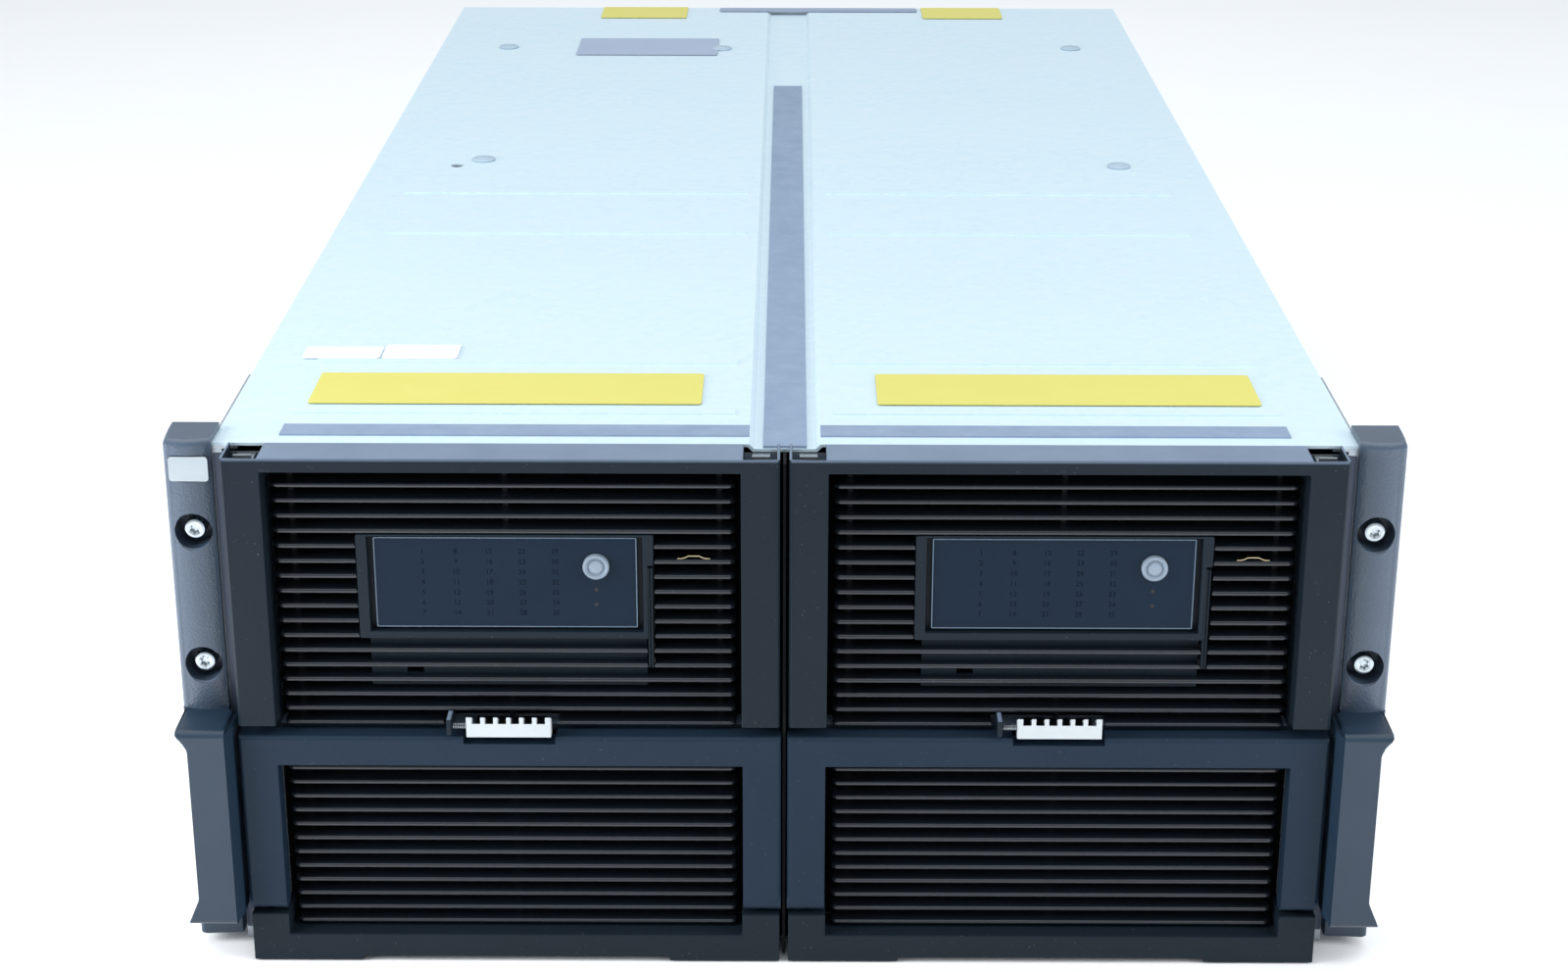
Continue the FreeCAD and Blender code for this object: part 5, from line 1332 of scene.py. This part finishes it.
    def numerals(self, front: float) -> Solid:
        """Prints the drive numbers from one up, column by column.

        Args:
            front: Y of the window's front face.

        Returns:
            The printed numbers.
        """
        whole = bmesh.new()
        (size, thick), (first_x, first_z), (across, down) = self.numeral, self.numeral_spot, self.numeral_step
        for index in range(self.numeral_count):
            column, row = divmod(index, self.numeral_rows)
            curve = bpy.data.curves.new("numeral", "FONT")
            curve.body = str(index + 1)
            curve.size = size
            curve.align_x = "CENTER"
            curve.resolution_u = 2
            curve.extrude = thick
            written = add_object("numeral", curve)
            graph = bpy.context.evaluated_depsgraph_get()
            mesh = bpy.data.meshes.new_from_object(written.evaluated_get(graph), depsgraph=graph)
            spot = Vector((self.middle + first_x + across * column, front - thick, first_z - down * row))
            mesh.transform(Matrix.Translation(spot) @ Matrix.Rotation(math.pi / 2, 4, "X"))
            whole.from_mesh(mesh)
            bpy.data.objects.remove(written)
            bpy.data.meshes.remove(mesh)
        bmesh.ops.remove_doubles(whole, verts=whole.verts, dist=WELD)
        return whole

    def build_button(self) -> None:
        """Turns the dished push button with its ring."""
        low, high = place(self.named("ident_button"))
        radius, stem = (high.x - low.x) / 2, self.button_stem
        profile = [(share * radius, low.y + depth) for share, depth in self.button]
        profile += [(stem, profile[-1][1]), (stem, high.y), (0.0, high.y)]
        shape = lathe(profile, (low.x + high.x) / 2, (low.z + high.z) / 2, Plane.FRONT, 40)
        self.settle("push_button", shape, BUTTON_PC, "button", "button_plastic", "ident_button")

    def build_latch(self) -> None:
        """Rounds the toothed latch, slopes its teeth and paints the slide behind its plate black as shade."""
        node = self.named("release_latch")
        shape = moulded(node, self.latch_round, 2, 0.8)
        low, high = place(node)
        for corner in shape.verts:
            if corner.co.z > high.z - self.tooth:
                corner.co.z -= max(0.0, corner.co.y - low.y - self.tooth) * self.tooth_slope
        piece = add_piece(self.named("toothed_latch"), shape, LATCH_POM)
        # Painted shade: the slide behind the plate is black, though the whole latch is white acetal.
        piece.data.materials.append(BLACK_PBT_AND_SHADE.material())
        behind = (low.y + self.latch_plate - NEAR) * MM
        for face in piece.data.polygons:
            face.material_index = int(face.center.y > behind)
        seat(piece, self.named("latch"), "latch_plastic", node)

    def build_spring(self) -> None:
        """Winds the wire spring beside the latch."""
        node = self.named("latch_spring")
        low, high = place(node)
        middle = (low + high) / 2
        turns, radius, wire, play, keep = self.spring
        start = Vector((low.x + play, middle.y, middle.z)) * MM
        coil = self.kit.coil.grow(self.named("wire_spring"), bpy.data.meshes.new("coil"), SPRING_STEEL,
                                  Turns=turns, Coil_Radius=radius * MM, Wire_Radius=wire * MM,
                                  Length=(high.x - low.x - 2 * play) * MM, Start=tuple(start))
        seat(coil, self.named("drawer"), "spring_steel", node)
        self.named("latch_slide")
        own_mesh(coil)

    def build_handle(self) -> None:
        """Rounds the bail handle and dresses its pins."""
        shape = moulded(self.named("pull_handle"), self.handle_round, 3)
        self.settle("bail_handle", shape, HANDLE_ABS, "handle", "handle_plastic", "pull_handle",
                    sharp=SHARP_MOULDED)
        dress(SCREW_STEEL, self.named("handle_pins"))

    def build_clip(self) -> None:
        """Bends a small brass clip that rests on a bar beside the display."""
        front = self.grille[0].y
        base = self.first - self.pitch * self.clip_row + self.bar_height / 2
        (left, length), (foot, rise, thick), steps = self.clip, self.clip_rise, self.clip_steps
        crest = [(self.middle + left + length * k / steps,
                  base + foot + rise * min(1.0, self.clip_flatness * math.sin(math.pi * k / steps) ** 4))
                 for k in range(steps + 1)]
        outline = crest + [(x, z - thick) for x, z in reversed(crest)]
        shape = prism(outline, front + self.clip_depth[0], front + self.clip_depth[1], Plane.FRONT)
        self.settle("grille_clip", shape, BRASS, "drawer", "spring_steel")

    def build_shade_sheet(self) -> None:
        """Lays black sheets of painted shade behind both grilles, in front of the drawer's plate."""
        back, (front, rear) = self.grille[1].y, self.shade_sheet_depth
        low, high = place(self.named("upper_bezel"))
        lip = place(self.named("drawer_lip"))[0].z
        sill, head, foot, gap = self.shade_sheet_margins
        spans = ((low.z + sill, high.z - head), (lip + foot, low.z - gap))
        outlines = [rectangle(self.middle - half, self.middle + half, *span)
                    for half, span in zip(self.shade_sheet_half, spans)]
        sheets = joined(prism(outline, back - front, back - rear, Plane.FRONT) for outline in outlines)
        self.settle("air_filter", sheets, SHADE_SHEET_BLACK, "drawer", "louvre_plastic")


@dataclass
class DrawerInside(SideAssembly):
    """What a drawer carries: tray, backplane, drives with their carriers, and slides."""

    drive: Flat = (26.1, 101.6)
    drive_step: Flat = (38.6, 103.5)
    columns: int = 5
    rows: int = 7
    # Length and height of the cap at a drive's rear, and how far the lever's hinge lies before it.
    cap: Flat = (34.0, 3.0)
    cap_strip: float = 9.0
    # Half widths of a lever and its hole, where they start behind the drive's front, and the lever's root.
    loop: Flat = (10.0, 6.5)
    loop_start: Flat = (5.0, 9.0)
    loop_root: float = 14.0
    loop_depth: Flat = (0.2, 3.2)
    # Half width of the release button, where it starts and ends behind the hinge, and its heights.
    button: Triple = (7.0, 13.0, 27.0)
    button_depth: Flat = (0.2, 1.4)
    # Corner radii of a lever, its hole and the button, and the bevel of the lever's edges.
    corners: Triple = (4.0, 3.0, 2.0)
    loop_bevel: float = 0.5

    def build(self) -> None:
        """Dresses the inside of the drawer, and lays a looped lever and a button on every carrier."""
        for finish, *nodes in ((ZINC, "drawer_tray"), (BOARD_FR4, "drive_backplane"), (DRIVE_CASE, "drives"),
                               (RAIL_STEEL, "slide_inner_rails", "slide_middle_rails")):
            dress(finish, *map(self.named, nodes))
        low, high = place(self.named("drives"))
        middle, front = low.x + self.drive[0] / 2, low.y
        hinge = front + self.drive[1] - self.cap[0] - self.cap_strip
        floor = high.z - self.cap[1]
        (outer, inner), (start, hole), root = self.loop, self.loop_start, self.loop_root
        wide, narrow, small = self.corners
        loop = surround(rectangle(middle - outer, middle + outer, front + start, hinge, wide, 3),
                        rectangle(middle - inner, middle + inner, front + hole, hinge - root, narrow, 3),
                        floor - self.loop_depth[0], floor + self.loop_depth[1], Plane.LEVEL)
        soften(loop, self.loop_bevel, 1, is_corner(4.0))
        half, near, far = self.button
        button = prism(rectangle(middle - half, middle + half, hinge + near, hinge + far, small, 3),
                       high.z - self.button_depth[0], high.z + self.button_depth[1], Plane.LEVEL)
        across, down = self.drive_step
        for name, shape, finish in (("carrier_levers", loop, GRIP_NYLON),
                                    ("carrier_buttons", button, TOUCH_PBT)):
            self.settle_rows(name, shape, finish, "drawer", "drive_aluminium", columns=self.columns,
                             rows=self.rows, across=(across, 0.0, 0.0), down=(0.0, down, 0.0))


@dataclass
class RearModule(SideAssembly):
    """A module in the rear cage, with a ribbed release tab beside its pull.

    Depths are measured outwards from the module's rear face.

    Attributes:
        node: Name of the module's node without its side.
        body: Name of its body without its side.
    """

    node: str
    body: str
    pull: float = 22.0
    # The tab's distance from the module's side, its width, height and corner radius, and its depths.
    tab: Quad = (18.0, 7.0, 22.0, 1.5)
    tab_depth: Flat = (-0.05, 3.0)
    tab_round: float = 0.5
    # Outline of the first rib from the rear face and the tab's middle, its ends on the tab, and the step.
    rib: tuple[Flat, ...] = ((2.9, 7.0), (3.7, 7.5), (3.7, 8.0), (2.9, 8.5))
    rib_ends: Flat = (1.0, 6.0)
    rib_count: int = 6
    rib_step: float = -3.1

    def __post_init__(self) -> None:
        """Finds the module's corners, its middle and its rear face."""
        self.low, self.high = place(self.named(self.node))
        self.x, self.z = (self.low.x + self.high.x) / 2, (self.low.z + self.high.z) / 2
        self.face = self.high.y - self.pull

    def build(self) -> None:
        """Dresses the case, builds what its face carries, and sets the tab beside the pull."""
        dress(MODULE_CASE, self.named(self.node))
        self.build_face()
        side, width, height, corner = self.tab
        left = self.low.x + side
        block = self.plate(rectangle(left, left + width, self.z - height / 2, self.z + height / 2, corner),
                           *self.tab_depth)
        self.add("tab", soften(block, self.tab_round, 2, is_corner(0.8)), TOUCH_PBT, "handle_plastic")
        outline = [(self.face + y, self.z + z) for y, z in self.rib]
        rib = prism(outline, *(left + end for end in self.rib_ends), Plane.FLANK)
        self.settle_rows(f"{self.body}_tab_ribs", rib, TOUCH_PBT, self.body, "handle_plastic",
                         rows=self.rib_count, down=(0.0, 0.0, self.rib_step))

    def build_face(self) -> None:
        """Builds what the module's rear face carries."""
        raise NotImplementedError

    def plate(self, outline: Sequence[Flat], start: float, end: float) -> Solid:
        """Draws an outline out between two depths."""
        return prism(outline, self.face + start, self.face + end, Plane.FRONT)

    def tube(self, outer: Sequence[Flat], inner: Sequence[Flat], start: float, end: float) -> Solid:
        """Draws the space between two outlines out between two depths."""
        return surround(outer, inner, self.face + start, self.face + end, Plane.FRONT)

    def add(self, name: str, shape: Solid, finish: Finish, slot: str) -> None:
        """Makes a piece that rides on the module and is named after its body."""
        self.settle(f"{self.body}_{name}", shape, finish, self.body, slot)


@dataclass
class PowerSupply(RearModule):
    """A power supply with a screened vent and a power inlet."""

    # Distance of the vent from the module's edges, its width, height and depth.
    vent: Quad = (8.0, 62.0, 58.0, 3.0)
    # Margins of the rim at the sides and above, and the depths of rim, mesh and, in the vent, shade.
    vent_rim: Flat = (3.0, 3.2)
    rim_depth: Flat = (-2.2, -1.2)
    mesh_depth: Flat = (-2.0, -1.4)
    shade_depth: Flat = (-0.05, 0.3)
    mesh_pitch: float = 5.0
    mesh_open: float = 0.44
    mesh_spot: Flat = (3.6, 5.0)
    mesh_columns: int = 11
    mesh_rows: int = 6
    # Play of the shade and the rim in the vent, and the rim's corner radius.
    vent_play: Flat = (0.1, 0.05)
    rim_corner: float = 0.5
    # Distance of the inlet from the side, its width, its height above the underside, height and depth.
    inlet: tuple[float, ...] = (12.0, 27.4, 5.0, 20.0, 15.0)
    # Margins and corner radii of the shroud, its hole and its lip, and where shroud and lip end.
    inlet_body: Flat = (0.1, 1.0)
    inlet_hole: Flat = (1.8, 2.5)
    inlet_lip: Flat = (-2.2, 3.0)
    inlet_end: float = 0.2
    lip_depth: Flat = (-0.05, 1.3)
    # Margin and thickness of the inlet's floor.
    inlet_floor: Flat = (1.0, 0.8)
    # Places of the blades, their width and height, their roots above the inlet's back, and their tips.
    blades: tuple[Flat, ...] = ((-7.0, -1.0), (0.0, 2.5), (7.0, -1.0))
    blade: Flat = (2.0, 4.0)
    blade_depth: Flat = (0.5, -3.0)
    blade_round: float = 0.4

    def build_face(self) -> None:
        """Builds the vent and the inlet."""
        self.build_vent()
        self.build_inlet()

    def build_vent(self) -> None:
        """Fills the vent with a honeycomb screen before a black sheet of painted shade."""
        edge, width, height, depth = self.vent
        right, top = self.high.x - edge, self.high.z - edge
        left, bottom = right - width, top - height
        box, (side, head) = (left, right, bottom, top), self.vent_rim
        (shade_play, rim_play), corner = self.vent_play, self.rim_corner
        # The black sheet at the vent's floor is painted shade, standing in for the shade inside the vent.
        back = self.plate(inset(box, shade_play), *(start - depth for start in self.shade_depth))
        self.add("vent_shade", back, SHADE_SHEET_BLACK, "module_aluminium")
        opening = rectangle(left + side, right - side, bottom + head, top - head, corner, 1)
        rim = self.tube(inset(box, rim_play, corner, 1), opening, *self.rim_depth)
        self.add("vent_rim", rim, ZINC, "module_aluminium")
        step, rise = self.mesh_pitch, self.mesh_pitch * math.sqrt(3) / 2
        x, z = left + self.mesh_spot[0], top - self.mesh_spot[1]
        turns = [math.pi * k / 3 for k in range(6)]
        cells = []
        for u, v in ((x, z), (x + step / 2, z - rise)):
            rings = [[(u + r * math.sin(a), v + r * math.cos(a)) for a in turns]
                     for r in (step / math.sqrt(3), step * self.mesh_open)]
            cells.append(self.tube(*rings, *self.mesh_depth))
        self.settle_rows(f"{self.body}_vent_mesh", joined(cells), ZINC, self.body, "module_aluminium",
                         columns=self.mesh_columns, rows=self.mesh_rows, across=(step, 0.0, 0.0),
                         down=(0.0, 0.0, -2 * rise))

    def build_inlet(self) -> None:
        """Sets the black shroud and the three blades of the power inlet."""
        edge, width, rise, height, depth = self.inlet
        right, bottom = self.high.x - edge, self.low.z + rise
        box = (right - width, right, bottom, bottom + height)
        hole, (margin, floor), (root, tip) = inset(box, *self.inlet_hole), self.inlet_floor, self.blade_depth
        shroud = [self.tube(inset(box, *self.inlet_body), hole, -depth, self.inlet_end),
                  self.tube(inset(box, *self.inlet_lip), hole, *self.lip_depth),
                  self.plate(inset(box, margin), -depth, floor - depth)]
        self.add("inlet_shroud", joined(shroud), BLACK_PBT_AND_SHADE, "module_aluminium")
        middle, centre = (box[0] + box[1]) / 2, (box[2] + box[3]) / 2
        blades = []
        for u, v in self.blades:
            outline = rectangle(*centred(middle + u, centre + v, *self.blade))
            blade = self.plate(outline, root - depth, tip)
            blades.append(soften(blade, self.blade_round, 2, is_corner(1.5)))
        self.add("inlet_blades", joined(blades), SCREW_STEEL, "screw_steel")


@dataclass
class IoModule(RearModule):
    """An I/O module with two cable ports."""

    # Shift of the ports from the module's middle, their spacing, width, height and depth.
    port: tuple[float, ...] = (12.0, 34.0, 22.0, 10.0, 16.0)
    # Margins and corner radii of a cage's outside and inside.
    cage: tuple[Flat, Flat] = ((0.1, 0.6), (0.9, 0.4))
    cage_end: float = 1.0
    # Width and height of a contact tongue, its root above the port's back, and its tip.
    tongue: Flat = (15.0, 1.4)
    tongue_depth: Flat = (0.2, -3.0)
    # Margin and thickness of a port's back.
    port_back: Flat = (1.0, 0.5)
    lamp: Profile = ((0.0, 0.9), (0.7, 0.8), (1.2, 0.3), (1.3, -0.1), (0.0, -0.1))
    lamp_spread: float = 5.0

    def build_face(self) -> None:
        """Sets the metal cages, the contact tongues and the lamps of the two cable ports."""
        shift, spread, width, height, depth = self.port
        (root, tip), (inward, thick) = self.tongue_depth, self.port_back
        cages, tongues, lamps = [], [], []
        for way in (-1, 1):
            x = self.x + shift + way * spread / 2
            box = centred(x, self.z, width, height)
            rings = [inset(box, margin, radius, 2) for margin, radius in self.cage]
            cages.append(self.tube(*rings, -depth, self.cage_end))
            tongues.append(self.plate(rectangle(*centred(x, self.z, *self.tongue)), root - depth, tip))
            tongues.append(self.plate(inset(box, inward), -depth, thick - depth))
            above = self.z + height / 2 + self.lamp_spread
            for u in (-self.lamp_spread, self.lamp_spread):
                lamps.append(lathe(shifted(self.lamp, self.face), x + u, above, Plane.FRONT, 14))
        self.add("port_cages", joined(cages), SCREW_STEEL, "screw_steel")
        self.add("port_tongues", joined(tongues), BLACK_PBT_AND_SHADE, "module_aluminium")
        self.add("lamps", joined(lamps), LAMP_PC, "button_plastic")


@dataclass
class FanModule(RearModule):
    """A fan module with its rotor and a wire finger guard."""

    # Shift of the duct from the module's middle, and its radius.
    duct: Flat = (9.0, 38.0)
    guard_rings: tuple[float, ...] = (10.0, 17.0, 24.0, 31.0, 37.6)
    guard_wire: float = 0.7
    guard_depth: float = -1.2
    spoke_depths: tuple[Flat, Flat] = ((-2.6, -1.5), (-2.7, -1.6))
    spoke_end: float = 0.2

    def build_face(self) -> None:
        """Dresses the rotor and bends the wire guard in the mouth of the duct."""
        dress(FAN_PBT, self.named("fan_rotor"))
        x, reach, wire = self.x + self.duct[0], self.duct[1] + self.spoke_end, self.guard_wire
        turns = [math.tau * k / 6 for k in range(7)]
        parts = [lathe([(radius + wire * math.cos(a), self.face + self.guard_depth + wire * math.sin(a))
                        for a in turns], x, self.z, Plane.FRONT, 40) for radius in self.guard_rings]
        for (u, v), depths in zip(((reach, wire), (wire, reach)), self.spoke_depths):
            parts.append(self.plate(rectangle(x - u, x + u, self.z - v, self.z + v), *depths))
        self.add("guard", joined(parts), SCREW_STEEL, "screw_steel")


@dataclass(frozen=True)
class Lamp:
    """A soft square lamp.

    Attributes:
        name: Name of the lamp.
        spot: Its place in metres.
        aim: The point that it is aimed at.
        size: Its side in metres.
        power: Its power in watts.
        mirrored: Whether glossy faces mirror it.
    """

    name: str
    spot: Triple
    aim: Triple
    size: float
    power: float
    mirrored: bool = False


@dataclass
class Studio:
    """A pale floor, soft light and the camera, whose sizes are in pixels, degrees and millimetres."""

    focal: float = 2829.8
    image_width: float = 1600.0
    sensor: float = 36.0
    far: float = 50.0
    pitch: float = 20.65
    yaw: float = 0.13
    roll: float = -0.13
    eye: Triple = (2.0, -1460.3, 586.0)
    floor: Flat = (6000.0, 20.0)
    world_strength: float = 0.55
    # The small lamps brighten the front and leave no bright spots in its gloss.
    lamps: tuple[Lamp, ...] = (
        Lamp("overhead_lamp", (0.0, 0.1, 2.3), (0.0, 0.0, 0.2), 3.6, 58.0, mirrored=True),
        Lamp("left_lamp", (-0.85, -0.72, 0.4), (-0.2, -0.45, 0.12), 0.5, 10.0),
        Lamp("right_lamp", (0.85, -0.78, 0.4), (0.2, -0.45, 0.12), 0.5, 6.0))

    def build(self) -> None:
        """Builds the studio."""
        self.build_floor()
        self.build_light()
        self.build_camera()

    def build_floor(self) -> None:
        """Lays the floor under the object."""
        level, (reach, thick) = CAD_BOX[0].z / MM, self.floor
        slab = prism(rectangle(-reach, reach, -reach, reach), level - thick, level, Plane.LEVEL)
        floor = add_piece("floor", slab, FLOOR_PAINT)

    def build_light(self) -> None:
        """Sets an even white surround and the soft lamps."""
        scene = bpy.context.scene
        scene.view_settings.view_transform = "Standard"
        world = bpy.data.worlds.new("studio_surround")
        world.use_nodes = True
        scene.world = world
        background = world.node_tree.nodes["Background"]
        background.inputs["Color"].default_value = linear("#f7fbff")
        background.inputs["Strength"].default_value = self.world_strength
        for lamp in self.lamps:
            data = bpy.data.lights.new(lamp.name, "AREA")
            data.size = lamp.size
            data.energy = lamp.power
            light = add_object(lamp.name, data)
            light.visible_camera = False
            light.visible_glossy = lamp.mirrored
            light.location = lamp.spot
            light.rotation_euler = (Vector(lamp.aim) - Vector(lamp.spot)).to_track_quat("-Z", "Y").to_euler()

    def build_camera(self) -> None:
        """Sets the camera where the photograph was taken from."""
        data = bpy.data.cameras.new("studio_camera")
        data.sensor_width = self.sensor
        data.lens = self.focal * data.sensor_width / self.image_width
        data.clip_end = self.far
        camera = add_object("studio_camera", data)
        tilt, lean = math.radians(self.pitch), math.radians(self.roll)
        turn = Matrix.Rotation(math.radians(self.yaw), 3, "Z")
        ahead = turn @ Vector((0.0, math.cos(tilt), -math.sin(tilt)))
        down = turn @ Vector((0.0, -math.sin(tilt), -math.cos(tilt)))
        right = turn @ Vector((1.0, 0.0, 0.0))
        across = math.cos(lean) * right + math.sin(lean) * down
        under = -math.sin(lean) * right + math.cos(lean) * down
        axes = Matrix((across, -under, -ahead)).transposed().to_4x4()
        camera.matrix_world = Matrix.Translation(Vector(self.eye) * MM) @ axes
        bpy.context.scene.camera = camera


def main() -> None:
    """Builds the enclosure and its studio."""
    logging.basicConfig(level=logging.INFO, format="%(message)s")
    kit = Kit()
    Studio().build()
    Chassis(kit).build()
    for side in Side:
        DrawerFront(kit, side).build()
        DrawerInside(kit, side).build()
        PowerSupply(kit, side, "inner_power_supply", "inner_supply").build()
        PowerSupply(kit, side, "outer_power_supply", "outer_supply").build()
        IoModule(kit, side, "io_module", "io").build()
        FanModule(kit, side, "fan_module", "fan").build()
    bpy.context.view_layer.update()


if __name__ == "__main__":
    main()
